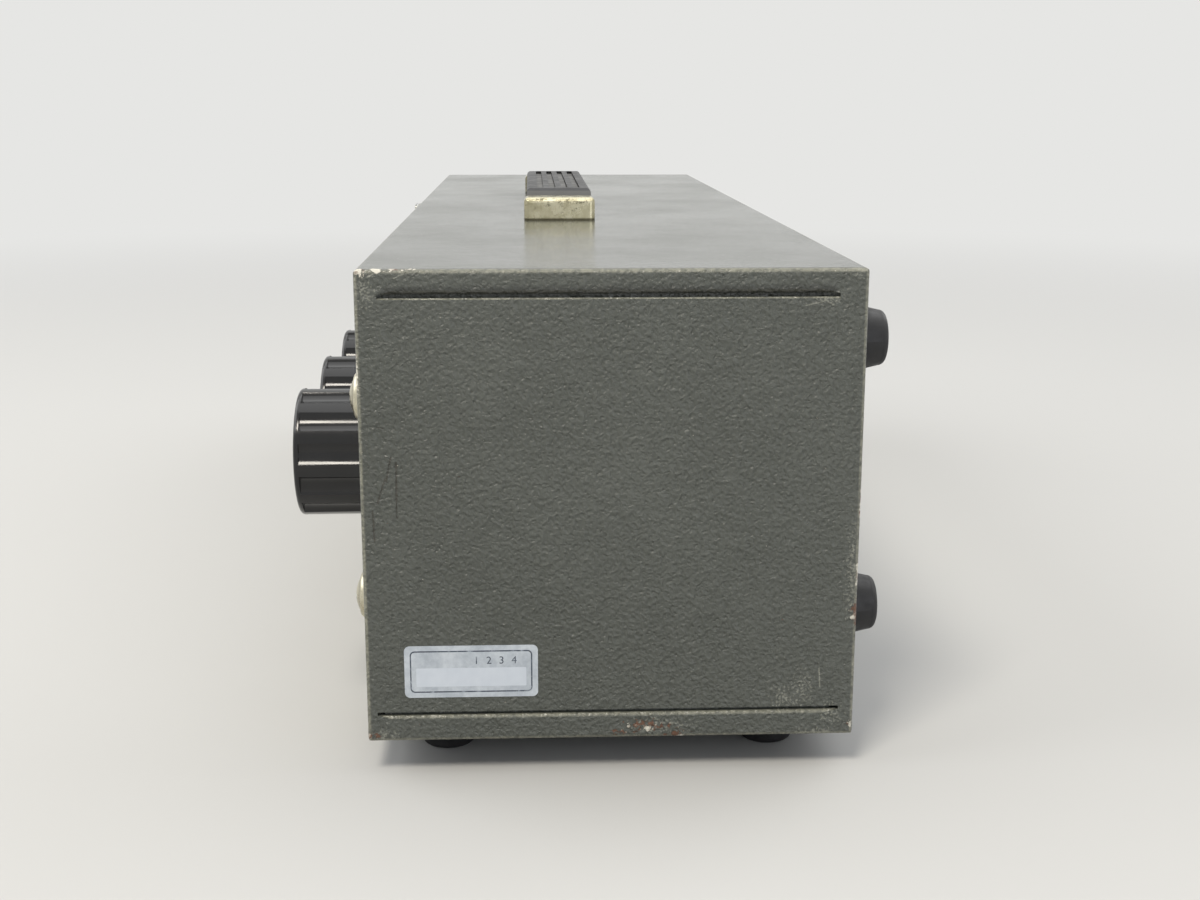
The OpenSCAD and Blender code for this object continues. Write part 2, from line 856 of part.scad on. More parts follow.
// A detent housing and two wafers on two tie rods; the wafers' rotors belong to the shaft.
module rotary_switch() {
    lugs = 12;
    difference() {
        union() {
            bushing();
            translate([0, 0, -panel_t - detent_h])
                linear_extrude(detent_h)
                    intersection() {
                        circle(16);
                        square([32, 26], center = true);
                    }
            for (z = wafer_z)
                translate([0, 0, z]) {
                    tube(14, wafer_bore_r, wafer_t);
                    for (i = [0:lugs - 1])
                        rotate(i * 360 / lugs) translate([8.4, -0.8, -0.4]) cube([9, 1.6, 0.8]);
                }
            for (s = [-1, 1])
                rotate(15) translate([s * 11.5, 0, -panel_t - 28]) cylinder(r = 1.5, h = 23);
        }
        shaft_bore(panel_t + detent_h + 1);
    }
}

// The switch's moving half behind its detent: a flat bar with a rotor in each wafer.
module switch_rotor() {
    translate([-2, -0.7, -panel_t - 28]) cube([4, 1.4, 28 - detent_h]);
    for (z = wafer_z)
        translate([0, 0, z]) {
            cylinder(r = wafer_bore_r - 0.06, h = wafer_t);
            translate([0, 0, wafer_t + 0.3])
                linear_extrude(0.8) {
                    circle(7.4);
                    translate([0, -1.2]) square([9.2, 2.4]);
                }
            translate([0, 0, wafer_t - 0.1]) cylinder(r = 3, h = 0.5);
        }
}

module rotary_switches() {
    color("#8f8a78")
        for (x = [waveform_x, range_x]) on_panel(x, row_z) rotary_switch();
}

module bushing_nuts() {
    color("#c0bda8") {
        for (x = control_x) on_panel(x, row_z) hex_nut(12, bushing_r + fit, 2.2);
        for (x = socket_x)
            on_panel(x, socket_z) translate([0, 0, -panel_t - tray_t - 2.4]) hex_nut(15, 6.3 + fit, 2.4);
        on_panel(lamp_at[0], lamp_at[1]) translate([0, 0, -panel_t - 2.2]) hex_nut(12, 4.6 + fit, 2.2);
    }
}

// A bayonet socket's shell: collar, barrel with its two lugs, and the thread behind the panel.
module bnc_shells() {
    color("#c6c4ba")
        for (x = socket_x)
            on_panel(x, socket_z)
                difference() {
                    union() {
                        intersection() {
                            cylinder(r = 7.6, h = 2.2);
                            translate([0, 0, 1]) cube([20, 13.4, 4], center = true);
                        }
                        rotate_extrude()
                            polygon([
                                [0, -12], [6.3, -12], [6.3, 0], [5.6, 0], [5.6, 4], [4.8, 4.6], [4.8, 12.6],
                                [4.5, 13], [0, 13]
                            ]);
                        rotate([0, 90, 0]) translate([-8.6, 0, -5.6]) cylinder(r = 1, h = 11.2);
                    }
                    translate([0, 0, 3]) cylinder(r = 4.05, h = 12);
                    translate([0, 0, -13]) cylinder(r = 2.4, h = 20);
                }
}

module bnc_insulators() {
    color("#e6e3d8")
        for (x = socket_x)
            on_panel(x, socket_z)
                translate([0, 0, -13.4]) tube(2.4, 1.05, 24);
}

module bnc_contacts() {
    color("#c9a24a")
        for (x = socket_x)
            on_panel(x, socket_z)
                difference() {
                    translate([0, 0, -18]) cylinder(r = 1.05, h = 28);
                    translate([0, 0, 4]) cylinder(r = 0.6, h = 7);
                    translate([-1, 0.2, -18.5]) cube([2, 2, 4]);
                }
}

module lamp_bezel() {
    color("#c6c4ba")
        on_panel(lamp_at[0], lamp_at[1])
            rotate_extrude()
                polygon([
                    [3.6, -16], [4.6, -16], [4.6, 0], [6.8, 0], [6.8, 1.4], [5.8, 2.6], [4.8, 2.6], [4.2, 2],
                    [3.6, 2]
                ]);
}

module lamp_lens() {
    color("#b01818")
        on_panel(lamp_at[0], lamp_at[1])
            rotate_extrude()
                polygon([
                    [0, -6], [3.6, -6], [3.6, 2], [4.2, 2],
                    for (a = [0:15:90]) [4.2 * cos(a), 2.8 + 3.2 * sin(a)]
                ]);
}

// ---------- power switch ----------

lever_pivot = 2;
lever_throw = 12;
lever_len = 17.5;
lever_ball_r = 3.6;
lever_pin_r = 0.8;
lever_pin_len = 9;
toggle_neck = 9;

module toggle_switch() {
    color("#b6b5ad")
        on_panel(toggle_at[0], toggle_at[1]) {
            difference() {
                union() {
                    translate([0, 0, -panel_t - 14]) linear_extrude(14) square([14, 22], center = true);
                    translate([0, 0, -panel_t - 0.1]) cylinder(r = 6, h = panel_t + 0.1 + toggle_neck);
                    for (y = [-7, 0, 7], x = [-3.5, 3.5])
                        translate([x - 1.2, y - 0.4, -panel_t - 20]) cube([2.4, 0.8, 7]);
                }
                rotate_extrude()
                    polygon([[0, -4], [lever_ball_r + 0.05, -4], [lever_ball_r + 0.05, lever_pivot + 1.2],
                             [4.4, toggle_neck], [4.4, toggle_neck + 1], [0, toggle_neck + 1]]);
                translate([0, 0, lever_pivot]) rotate([0, 90, 0])
                    cylinder(r = lever_pin_r + 0.05, h = lever_pin_len + 0.4, center = true);
            }
            hex_nut(15, 6, 2.4);
        }
}

// The bat-shaped lever, at rest in its lower position, about its ball and the pin through it.
module toggle_lever() {
    color("#cbc9c0")
        on_panel(toggle_at[0], toggle_at[1])
            translate([0, 0, lever_pivot])
                rotate([lever_throw, 0, 0]) {
                    sphere(r = lever_ball_r);
                    rotate([0, 90, 0]) cylinder(r = lever_pin_r, h = lever_pin_len, center = true);
                    cylinder(r1 = 1.7, r2 = 3, h = lever_len);
                    translate([0, 0, lever_len]) sphere(r = 3);
                }
}

// ---------- knobs ----------

knob_rim = 1.3;
knob_well_r = 9.5;

// A fluted knob about z, from its back face to its front rim. It is drawn as a disc with a round
// rim, less its flutes, its well over the panel nut, its shaft's bore and its set screw's hole.
module knob(d, n, back) {
    r = d / 2;
    face_r = inlay_r * d / knob_d;
    rim_z = knob_proud - knob_rim;
    difference() {
        rotate_extrude()
            polygon([
                [0, back], [r - 0.7, back], [r - 0.1, back + 0.6], [r, rim_z],
                for (a = [15:15:90]) [r + knob_rim * (cos(a) - 1), rim_z + knob_rim * sin(a)],
                [0, knob_proud]
            ]);
        for (i = [0:n - 1])
            rotate((i + 1 / 3) * 360 / n)
                translate([r - flute_depth + flute_r, 0, 0]) cylinder(r = flute_r, h = knob_proud - knob_lip);
        cylinder(r = knob_well_r, h = bushing_out + 1.5);
        cylinder(r = shaft_r + fit, h = shaft_end + 0.5);
        translate([0, 0, knob_proud - inlay_t]) cylinder(r = face_r + fit, h = 2);
        translate([-0.6, face_r - 1, knob_proud - 0.5]) cube([1.2, 8, 2]);
        translate([0, 0, set_screw_z]) rotate([90, 0, 0]) cylinder(r = set_screw_r + fit, h = r + 2);
    }
}

module control_knob(x) {
    color("#141416") on_panel(x, row_z) knob(knob_d, flutes, knob_gap);
}

// The large knob sits on the dial, with three pegs in the dial's holes.
module frequency_knob() {
    color("#141416")
        on_panel(frequency_x, row_z) {
            knob(big_knob_d, big_flutes, dial_z + dial_t - dial_dish);
            at_dial_pegs() translate([0, 0, dial_z]) cylinder(r = 1.2, h = dial_t - dial_dish + 1);
        }
}

// The spun aluminium disc let into a knob's face.
module inlay(x, d = knob_d) {
    r = inlay_r * d / knob_d;
    color("#c4c6c8")
        on_panel(x, row_z)
            translate([0, 0, knob_proud - inlay_t])
                rotate_extrude() polygon([[0, 0], [r, 0], [r, 0.4], [r - 0.3, 0.7], [0, 0.7]]);
}

// A control's shaft, with the flat and the slotted set screw that hold the knob on it.
module shaft(x, inside) {
    color("#a7a596")
        on_panel(x, row_z) {
            difference() {
                translate([0, 0, -panel_t - inside]) cylinder(r = shaft_r, h = panel_t + inside + shaft_end);
                translate([-shaft_r, -shaft_r - 1, bushing_out + 1]) cube([2 * shaft_r, 1.5, shaft_end]);
            }
            difference() {
                translate([0, 0.5 - shaft_r, set_screw_z])
                    rotate([90, 0, 0]) cylinder(r = set_screw_r, h = 8);
                translate([-0.4, -shaft_r - 8, set_screw_z - 3]) cube([0.8, 1.6, 6]);
            }
        }
}

// A switch's shaft, and the rotors that turn with it.
module switch_shaft(x) {
    shaft(x, detent_h + 0.4);
    color("#a7a596") on_panel(x, row_z) switch_rotor();
}

module at_dial_pegs() {
    for (a = [30:120:270]) rotate(a) translate([14, 0, 0]) children();
}

// The dial disc, with a bevelled rim and a shallow dish for the knob.
module frequency_dial() {
    r = dial_d / 2;
    face = dial_z + dial_t;
    dish_r = big_knob_d / 2 + 3;
    color("#1b1b1e")
        on_panel(frequency_x, row_z)
            difference() {
                rotate_extrude()
                    polygon([
                        [7.6, dial_z], [r, dial_z], [r, dial_z + 0.5], [r - 4, face],
                        [dish_r + dial_dish, face], [dish_r, face - dial_dish], [7.6, face - dial_dish]
                    ]);
                at_dial_pegs() cylinder(r = 1.2, h = 10);
            }
}

// A clear plate with a hairline, on two pins above the dial's rim.
module dial_cursor() {
    rim = dial_d / 2;
    under = dial_z + dial_t + 1;
    color([0.85, 0.9, 0.9, 0.6])
        on_panel(frequency_x, row_z) {
            difference() {
                translate([0, rim, under]) linear_extrude(1.6) round_rect(14, 18, 1.5);
                translate([-0.15, rim - 10, under - 0.1]) cube([0.3, 12, 0.4]);
            }
            for (x = cursor_pins)
                translate([x, rim + 6, 0]) {
                    translate([0, 0, -panel_t]) cylinder(r = cursor_pin_r, h = panel_t + 1);
                    cylinder(r = 2, h = under);
                }
        }
}

case_wrapper();
end_panel(1);  // end_panel_right
end_panel(-1);  // end_panel_left
panel_rails();
panel_nuts();
cup_washers();
panel_screws();
bottom_feet();
rear_feet();
foot_screws();
handle_strap();
handle_caps();
handle_screws();
asset_label();
front_panel();
chassis_tray();
rear_plate();
chassis_screws();
power_inlet();
inlet_pins();
fuse_holder();
fuse_cap();
fuse();
ground_terminal();
transformer_core();
transformer_winding();
transformer_frame();
circuit_board();
board_standoffs();
board_ics();
board_capacitors();
heat_sink();
regulators();
rotary_switches();
potentiometers();
bushing_nuts();
bnc_shells();
bnc_insulators();
bnc_contacts();
lamp_bezel();
lamp_lens();
toggle_switch();
toggle_lever();
frequency_dial();
dial_cursor();
control_knob(amplitude_x);  // amplitude_knob
control_knob(offset_x);  // offset_knob
control_knob(waveform_x);  // waveform_knob
control_knob(range_x);  // range_knob
frequency_knob();
inlay(amplitude_x);  // amplitude_inlay
inlay(offset_x);  // offset_inlay
inlay(waveform_x);  // waveform_inlay
inlay(range_x);  // range_inlay
inlay(frequency_x, big_knob_d);  // frequency_inlay
shaft(amplitude_x, 8);  // amplitude_shaft
shaft(offset_x, 8);  // offset_shaft
switch_shaft(waveform_x);  // waveform_shaft
switch_shaft(range_x);  // range_shaft
shaft(frequency_x, 8);  // frequency_shaft
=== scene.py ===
import math

import bmesh
import bpy
from mathutils import Matrix, Vector


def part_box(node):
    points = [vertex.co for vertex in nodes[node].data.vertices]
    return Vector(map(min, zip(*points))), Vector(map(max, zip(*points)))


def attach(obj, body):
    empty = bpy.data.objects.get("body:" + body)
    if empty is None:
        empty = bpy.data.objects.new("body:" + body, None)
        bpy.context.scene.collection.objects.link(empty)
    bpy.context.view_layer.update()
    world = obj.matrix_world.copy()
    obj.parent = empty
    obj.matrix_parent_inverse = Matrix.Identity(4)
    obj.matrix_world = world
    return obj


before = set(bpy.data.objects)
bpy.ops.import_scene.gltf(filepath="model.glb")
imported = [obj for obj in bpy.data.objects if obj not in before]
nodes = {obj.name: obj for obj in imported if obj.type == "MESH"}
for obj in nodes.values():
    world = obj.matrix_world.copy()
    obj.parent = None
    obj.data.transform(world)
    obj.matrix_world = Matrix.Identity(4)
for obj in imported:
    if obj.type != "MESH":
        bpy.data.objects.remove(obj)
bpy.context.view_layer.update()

# ---------- camera, floor and lights ----------
# The camera stands where the photograph's stood, close to the case's right end and a little
# above it. The floor is a pale sweep, and the light is soft: a key from above the right end, a weak
# fill from behind it, and wide panels in front, overhead and behind.
FRAME_WIDTH_PX = 1200
FOCAL_PX = 1564.3
CAMERA_AT = Vector((0.6769, -0.01566, 0.1929))
YAW, PITCH, ROLL = math.radians(2.511), math.radians(12.845), math.radians(0.066)
PALE = "#E6E6E4"
FLOOR_RADIUS = 6
# Each lamp: where it hangs, what it points at, its two sides in metres, its power and its colour.
LAMPS = {
    "key": ((1.25, -0.55, 1.9), (0.2, 0, 0.08), (0.6, 0.6), 26, "#FFF8EC"),
    "fill": ((1.9, 0.9, 0.5), (0.2, 0, 0.08), (1.6, 1.2), 8, "#F2F5FF"),
    "front": ((-0.3, -2.1, 1.6), (-0.05, 0, 0.08), (3.0, 1.6), 30, "#FFFFFF"),
    "overhead": ((-0.5, 0.2, 2.2), (-0.1, 0, 0.1), (3.0, 2.0), 22, "#FFFFFF"),
    "back": ((-0.9, 2.0, 1.7), (0, 0, 0.1), (2.8, 1.6), 24, "#FFFFFF"),
}


def srgb(code):
    """The linear colour of a hex code."""
    parts = [int(code[i:i + 2], 16) / 255 for i in (1, 3, 5)]
    return [c / 12.92 if c <= 0.04045 else ((c + 0.055) / 1.055) ** 2.4 for c in parts] + [1]


def add(tree, kind, inputs=None, **settings):
    """Adds a node with its settings, links or sets its inputs, and gives back its outputs."""
    made = tree.nodes.new(kind)
    for key, value in settings.items():
        setattr(made, key, value)
    for socket, source in (inputs or {}).items():
        if isinstance(source, bpy.types.NodeSocket):
            tree.links.new(source, made.inputs[socket])
        else:
            made.inputs[socket].default_value = source
    return made.outputs


def seen_directly(tree):
    """1 for rays that the camera sends, also through glass or by way of a mirror, and 0 for others."""
    rays = add(tree, "ShaderNodeLightPath")
    camera_ray, glossy_ray, clear_ray = (rays[f"Is {kind} Ray"] for kind in ("Camera", "Glossy", "Transmission"))
    seen = add(tree, "ShaderNodeMath", {0: camera_ray, 1: glossy_ray}, operation="MAXIMUM")[0]
    return add(tree, "ShaderNodeMath", {0: seen, 1: clear_ray}, operation="MAXIMUM")[0]


ahead = Vector((-math.cos(PITCH) * math.cos(YAW), math.cos(PITCH) * math.sin(YAW), -math.sin(PITCH)))
sideways = ahead.cross(Vector((0, 0, 1))).normalized()
upright = sideways.cross(ahead)
right = math.cos(ROLL) * sideways + math.sin(ROLL) * upright
up = math.cos(ROLL) * upright - math.sin(ROLL) * sideways
camera = bpy.data.objects.new("camera", bpy.data.cameras.new("camera"))
camera.data.sensor_width = 36
camera.data.lens = 36 * FOCAL_PX / FRAME_WIDTH_PX
camera.data.clip_start = 0.01
camera.matrix_world = Matrix.Translation(CAMERA_AT) @ Matrix((right, up, -ahead)).transposed().to_4x4()
bpy.context.scene.collection.objects.link(camera)
bpy.context.scene.camera = camera
bpy.context.scene.view_settings.view_transform = "Standard"

for name, (at, aim, sides, power, tint) in LAMPS.items():
    lamp = bpy.data.objects.new(name, bpy.data.lights.new(name, "AREA"))
    lamp.data.shape = "RECTANGLE"
    lamp.data.size, lamp.data.size_y = sides
    lamp.data.energy = power
    lamp.data.color = srgb(tint)[:3]
    turn = (Vector(aim) - Vector(at)).to_track_quat("-Z", "Y").to_matrix().to_4x4()
    lamp.matrix_world = Matrix.Translation(at) @ turn
    bpy.context.scene.collection.objects.link(lamp)

world = bpy.data.worlds.new("studio")
world.use_nodes = True
tree = world.node_tree
tree.nodes.clear()
seen = seen_directly(tree)
soft = add(tree, "ShaderNodeBackground", {"Color": srgb("#F4F5F7"), "Strength": 0.3})[0]
backdrop = add(tree, "ShaderNodeBackground", {"Color": srgb(PALE), "Strength": 1})[0]
mixed = add(tree, "ShaderNodeMixShader", {0: seen, 1: soft, 2: backdrop})[0]
add(tree, "ShaderNodeOutputWorld", {"Surface": mixed})
bpy.context.scene.world = world

outline = bmesh.new()
bmesh.ops.create_circle(outline, cap_ends=True, radius=FLOOR_RADIUS, segments=96)
floor = bpy.data.objects.new("floor", bpy.data.meshes.new("floor"))
outline.to_mesh(floor.data)
outline.free()
bpy.context.scene.collection.objects.link(floor)
paper = bpy.data.materials.new("pale_paper_sweep")
paper.use_nodes = True
tree = paper.node_tree
tree.nodes.clear()
# Near the object the paper takes its shadow, and further out it fades into the backdrop.
place = add(tree, "ShaderNodeTexCoord")["Object"]
reach = add(tree, "ShaderNodeVectorMath", {0: place}, operation="LENGTH")["Value"]
fade = add(tree, "ShaderNodeMapRange", {"Value": reach, "From Min": 0.6, "From Max": 1.7},
           interpolation_type="SMOOTHSTEP")[0]
seen = seen_directly(tree)
fade = add(tree, "ShaderNodeMath", {0: fade, 1: seen}, operation="MULTIPLY")[0]
matt = add(tree, "ShaderNodeBsdfDiffuse", {"Color": srgb("#CDCDCB")})[0]
glow = add(tree, "ShaderNodeEmission", {"Color": srgb(PALE), "Strength": 1})[0]
mixed = add(tree, "ShaderNodeMixShader", {0: fade, 1: matt, 2: glow})[0]
add(tree, "ShaderNodeOutputMaterial", {"Surface": mixed})
floor.data.materials.append(paper)

# ---------- case ----------
# The case is 1.6 mm sheet steel: a wrapper that is top, back and bottom in one, whose flanges
# fold over two end panels, with a groove left along each joint. It is welded and filled at the
# corners and sprayed with hammered enamel, which has chipped along the folds of the right end.
CASE_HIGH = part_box("case_wrapper")[1]
END_X, TOP_Z = CASE_HIGH.x, CASE_HIGH.z
# Worn places: the middle of each on the case, and how far it reaches along x, y and z, all in mm.
KNOCKS = [
    ((252, -62.6, 146), (2, 3.4, 2.6)), ((252, -57.2, 146.2), (2.4, 3.4, 2)), ((252, -53.6, 146.6), (2.4, 3, 1.6)),
    ((252, -49, 146.8), (2.4, 3, 1.3)), ((252, -36, 147), (1.5, 7, 0.5)), ((252, -4, 147), (1.5, 10, 0.4)),
    ((252, 40, 147), (1.5, 12, 0.4)), ((252, 76, 146.8), (1, 1.2, 0.6)),
    ((252, 16, 14), (1.5, 9, 3.2)), ((252, 25, 11.5), (1.5, 5, 2)), ((252, 10, 12), (1.5, 6, 1.6)),
    ((252, 76.6, 47), (2, 2.2, 5)), ((252, 76.9, 59), (2, 0.9, 6)), ((252, 76.9, 80), (2, 0.7, 7)),
    ((252, 76, 13.5), (1.5, 1.6, 2)), ((252, -62.6, 12), (1.5, 5, 1.9)), ((252, -63.7, 118), (2, 0.6, 8)),
    ((-252, -63, 146), (3, 3, 3)), ((-252, 76, 12), (5, 3, 3)), ((-252, 30, 146.6), (2, 12, 0.8)),
    ((-252, -63.7, 60), (2, 0.8, 12)), ((150, -63.7, 146.4), (22, 1, 0.9)), ((-60, 76.7, 146.4), (26, 1, 0.9)),
    ((-180, -63.7, 10.4), (16, 1, 1)), ((60, 76.7, 10.4), (20, 1, 1)),
]
# Places where only the crests of the enamel are rubbed, written in the same way.
SCUFFS = [
    ((252, 56, 22), (1.5, 5, 6)), ((252, 62, 25), (1.5, 5, 9)), ((252, 70, 17), (1.5, 6, 6)),
    ((252, 66, 11), (1.5, 9, 3)), ((252, 20, 14), (1.5, 16, 4)), ((252, 75, 60), (1.5, 3, 24)),
    ((252, 66, 138), (1.5, 7, 3)), ((252, 74, 145.6), (1.5, 4, 3)),
    ((252, -60, 12), (1.5, 8, 3)), ((252, -61, 140), (1.5, 5, 8)), ((-252, 30, 140), (1.5, 22, 6)),
]
# Scratches on the right end, each from one (y, z) to another in mm. Scored ones go into the
# enamel and have darkened, and light ones have only whitened it.
SCORED = [
    ((-55.1, 94.4), (-56.6, 87.5)), ((-56.9, 88.3), (-59.1, 81.3)), ((-53.7, 93), (-53.9, 77)),
    ((-60.6, 79), (-60.3, 70)), ((-58.6, 102.9), (-57.2, 102.7)),
]
# The last light line, along the upper groove's lower edge, is a painted highlight on the end panel's rounded edge,
# partly edge wear.
LIGHT_SCRATCHES_AND_HIGHLIGHT = [
    ((59.5, 136.2), (64, 137.2)), ((64, 137.2), (68, 139.6)), ((-57.1, 146.1), (-60, 144.4)),
    ((-50.2, 145.3), (-52.9, 144.1)), ((66.5, 31), (66.9, 25)), ((-57, 138.45), (68.5, 138.45)),
]
# The upper groove, under the wrapper's rolled edge, along which shade is painted on both ends.
GROOVE = ((-54.5, 139.6), (66, 139.6))


def new_finish(name, colour, metallic, roughness):
    """A material with its even values set, its node tree, its shader, and the place on the object."""
    made = bpy.data.materials.new(name)
    made.use_nodes = True
    shader = made.node_tree.nodes["Principled BSDF"]
    shader.inputs["Base Color"].default_value = srgb(colour)
    shader.inputs["Metallic"].default_value = metallic
    shader.inputs["Roughness"].default_value = roughness
    return made, made.node_tree, shader, add(made.node_tree, "ShaderNodeTexCoord")["Object"]


def paint(material, *names):
    """Gives these CAD nodes that material."""
    for name in names:
        for slot in nodes[name].material_slots:
            slot.material = material


def worn_places(tree, place, spots):
    """How far each point is from the nearest of these places, as a part of its reach."""
    nearest = None
    for middle, reach in spots:
        scale = [1000 / r for r in reach]
        shift = [-m / r for m, r in zip(middle, reach)]
        away = add(tree, "ShaderNodeVectorMath", {0: place, 1: scale, 2: shift}, operation="MULTIPLY_ADD")[0]
        away = add(tree, "ShaderNodeVectorMath", {0: away}, operation="LENGTH")["Value"]
        if nearest is not None:
            away = add(tree, "ShaderNodeMath", {0: nearest, 1: away}, operation="MINIMUM")[0]
        nearest = away
    return nearest


def scratches(tree, place, strokes):
    """How far each point is from the nearest of these strokes, in metres."""
    nearest = None
    for start, stop in strokes:
        along = Vector((0, stop[0] - start[0], stop[1] - start[1])) / 1000
        offset = add(tree, "ShaderNodeVectorMath", {0: place, 1: (END_X, start[0] / 1000, start[1] / 1000)},
                     operation="SUBTRACT")[0]
        part = add(tree, "ShaderNodeVectorMath", {0: offset, 1: along / along.length_squared},
                   operation="DOT_PRODUCT")["Value"]
        part = add(tree, "ShaderNodeClamp", {0: part})[0]
        foot = add(tree, "ShaderNodeVectorMath", {0: along, "Scale": part}, operation="SCALE")[0]
        away = add(tree, "ShaderNodeVectorMath", {0: offset, 1: foot}, operation="DISTANCE")["Value"]
        if nearest is not None:
            away = add(tree, "ShaderNodeMath", {0: nearest, 1: away}, operation="MINIMUM")[0]
        nearest = away
    return nearest


# Hammered enamel: a stoved lacquer whose pigment shrinks into pits and ridges about 1 mm apart.
# It is glossy, so each ridge has its own small crescent of light.
HAMMER_MM, RIPPLE_MM, CRUMB_MM = 1.25, 0.75, 1.6
enamel, tree, shader, place = new_finish("hammered_enamel", "#565953", 0, 0.34)
warp = add(tree, "ShaderNodeTexNoise", {"Vector": place, "Scale": 1000 / 3, "Detail": 2})["Color"]
warped = add(tree, "ShaderNodeVectorMath", {0: warp, 1: (0.0016,) * 3, 2: place}, operation="MULTIPLY_ADD")[0]
pits = add(tree, "ShaderNodeTexVoronoi", {"Vector": warped, "Scale": 1000 / HAMMER_MM, "Smoothness": 0.8},
           feature="SMOOTH_F1")["Distance"]
ripples = add(tree, "ShaderNodeTexNoise", {"Vector": warped, "Scale": 1000 / RIPPLE_MM, "Detail": 2})["Fac"]
swells = add(tree, "ShaderNodeTexNoise", {"Vector": place, "Scale": 1000 / 5, "Detail": 2})["Fac"]
height = add(tree, "ShaderNodeMath", {0: ripples, 1: 0.9, 2: pits}, operation="MULTIPLY_ADD")[0]
height = add(tree, "ShaderNodeMath", {0: swells, 1: 0.9, 2: height}, operation="MULTIPLY_ADD")[0]
# The enamel is gone where crumbly noise and a knock's own level come to enough together.
wear = worn_places(tree, place, KNOCKS)
wear = add(tree, "ShaderNodeMapRange", {"Value": wear, "From Min": 1.2, "From Max": 0.1, "To Max": 0.38})[0]
crumbs = add(tree, "ShaderNodeTexNoise", {"Vector": place, "Scale": 1000 / CRUMB_MM, "Detail": 4,
                                          "Roughness": 0.65})["Fac"]
bare = add(tree, "ShaderNodeMath", {0: crumbs, 1: wear}, operation="ADD")[0]
bare = add(tree, "ShaderNodeMapRange", {"Value": bare, "From Min": 0.725, "From Max": 0.75})[0]
# A scratch is a thin line, broken where the grit that made it jumped.
grit = add(tree, "ShaderNodeMapRange", {"Value": crumbs, "From Min": 0.35, "From Max": 0.65, "To Min": 0.00005,
                                        "To Max": 0.0004})[0]
scored = add(tree, "ShaderNodeMath", {0: scratches(tree, place, SCORED), 1: grit}, operation="DIVIDE")[0]
scored = add(tree, "ShaderNodeMapRange", {"Value": scored, "From Min": 1.3, "From Max": 0.5, "To Max": 0.75})[0]
# Light lines: whitened scratches, and one painted highlight along the upper groove's lower edge.
light = add(tree, "ShaderNodeMath", {0: scratches(tree, place, LIGHT_SCRATCHES_AND_HIGHLIGHT), 1: grit}, operation="DIVIDE")[0]
light = add(tree, "ShaderNodeMapRange", {"Value": light, "From Min": 1, "From Max": 0.4, "To Max": 0.45})[0]
# A scuff whitens the crests, most of all in its middle.
scuffed = worn_places(tree, place, SCUFFS)
scuffed = add(tree, "ShaderNodeMapRange", {"Value": scuffed, "From Min": 1.1, "From Max": 0.1, "To Max": 0.34})[0]
scuffed = add(tree, "ShaderNodeMath", {0: scuffed, 1: ripples}, operation="ADD")[0]
scuffed = add(tree, "ShaderNodeMapRange", {"Value": scuffed, "From Min": 0.7, "From Max": 0.9, "To Max": 0.5})[0]
# The pigment: a shade lighter on the ridges, with slow cloudy patches.
cloud = add(tree, "ShaderNodeTexNoise", {"Vector": place, "Scale": 1000 / 45, "Detail": 3})["Fac"]
tone = add(tree, "ShaderNodeMath", {0: height, 1: 0.5, 2: cloud}, operation="MULTIPLY_ADD")[0]
tone = add(tree, "ShaderNodeMapRange", {"Value": tone, "From Min": 0.9, "From Max": 1.8})[0]
skin = add(tree, "ShaderNodeMixRGB", {"Fac": tone, "Color1": srgb("#4C4F49"), "Color2": srgb("#5F625C")})[0]
# Along the folds the enamel is paler in short broken dashes: partly thin rubbed enamel, partly a painted highlight
# where the folds catch the light.
facing = add(tree, "ShaderNodeNewGeometry")["Normal"]
square = add(tree, "ShaderNodeVectorMath", {0: facing}, operation="ABSOLUTE")[0]
square = add(tree, "ShaderNodeSeparateXYZ", {0: square})
walls = add(tree, "ShaderNodeMath", {0: square[0], 1: square[1]}, operation="MAXIMUM")[0]
square = add(tree, "ShaderNodeMath", {0: walls, 1: square[2]}, operation="MAXIMUM")[0]
rubbed_and_highlight = add(tree, "ShaderNodeMapRange", {"Value": square, "From Min": 0.99, "From Max": 0.88})[0]
dashes = add(tree, "ShaderNodeMapRange", {"Value": crumbs, "From Min": 0.35, "From Max": 0.6, "To Min": 0.2,
                                          "To Max": 0.75})[0]
rubbed_and_highlight = add(tree, "ShaderNodeMath", {0: rubbed_and_highlight, 1: dashes}, operation="MULTIPLY")[0]
skin = add(tree, "ShaderNodeMixRGB", {"Fac": rubbed_and_highlight, "Color1": skin, "Color2": srgb("#959484")})[0]
skin = add(tree, "ShaderNodeMixRGB", {"Fac": scored, "Color1": skin, "Color2": srgb("#3B372F")})[0]
pale = add(tree, "ShaderNodeMath", {0: scuffed, 1: light}, operation="MAXIMUM")[0]
skin = add(tree, "ShaderNodeMixRGB", {"Fac": pale, "Color1": skin, "Color2": srgb("#A9A99C")})[0]
# Painted shade in the upper groove: a dark tint that fades out upwards over the roll, and ends at the groove's
# lower edge.
across, depth, level = add(tree, "ShaderNodeSeparateXYZ", {0: place})[:3]
either = add(tree, "ShaderNodeMath", {0: across}, operation="ABSOLUTE")[0]
either = add(tree, "ShaderNodeCombineXYZ", {0: either, 1: depth, 2: level})[0]
painted_shade = scratches(tree, either, [GROOVE])
painted_shade = add(tree, "ShaderNodeMapRange", {"Value": painted_shade, "From Min": 0.003, "From Max": 0.0004, "To Max": 0.9})[0]
above = add(tree, "ShaderNodeMath", {0: level, 1: (GROOVE[0][1] - 0.95) / 1000}, operation="GREATER_THAN")[0]
painted_shade = add(tree, "ShaderNodeMath", {0: painted_shade, 1: above}, operation="MULTIPLY")[0]
skin = add(tree, "ShaderNodeMixRGB", {"Fac": painted_shade, "Color1": skin, "Color2": srgb("#20211F")})[0]
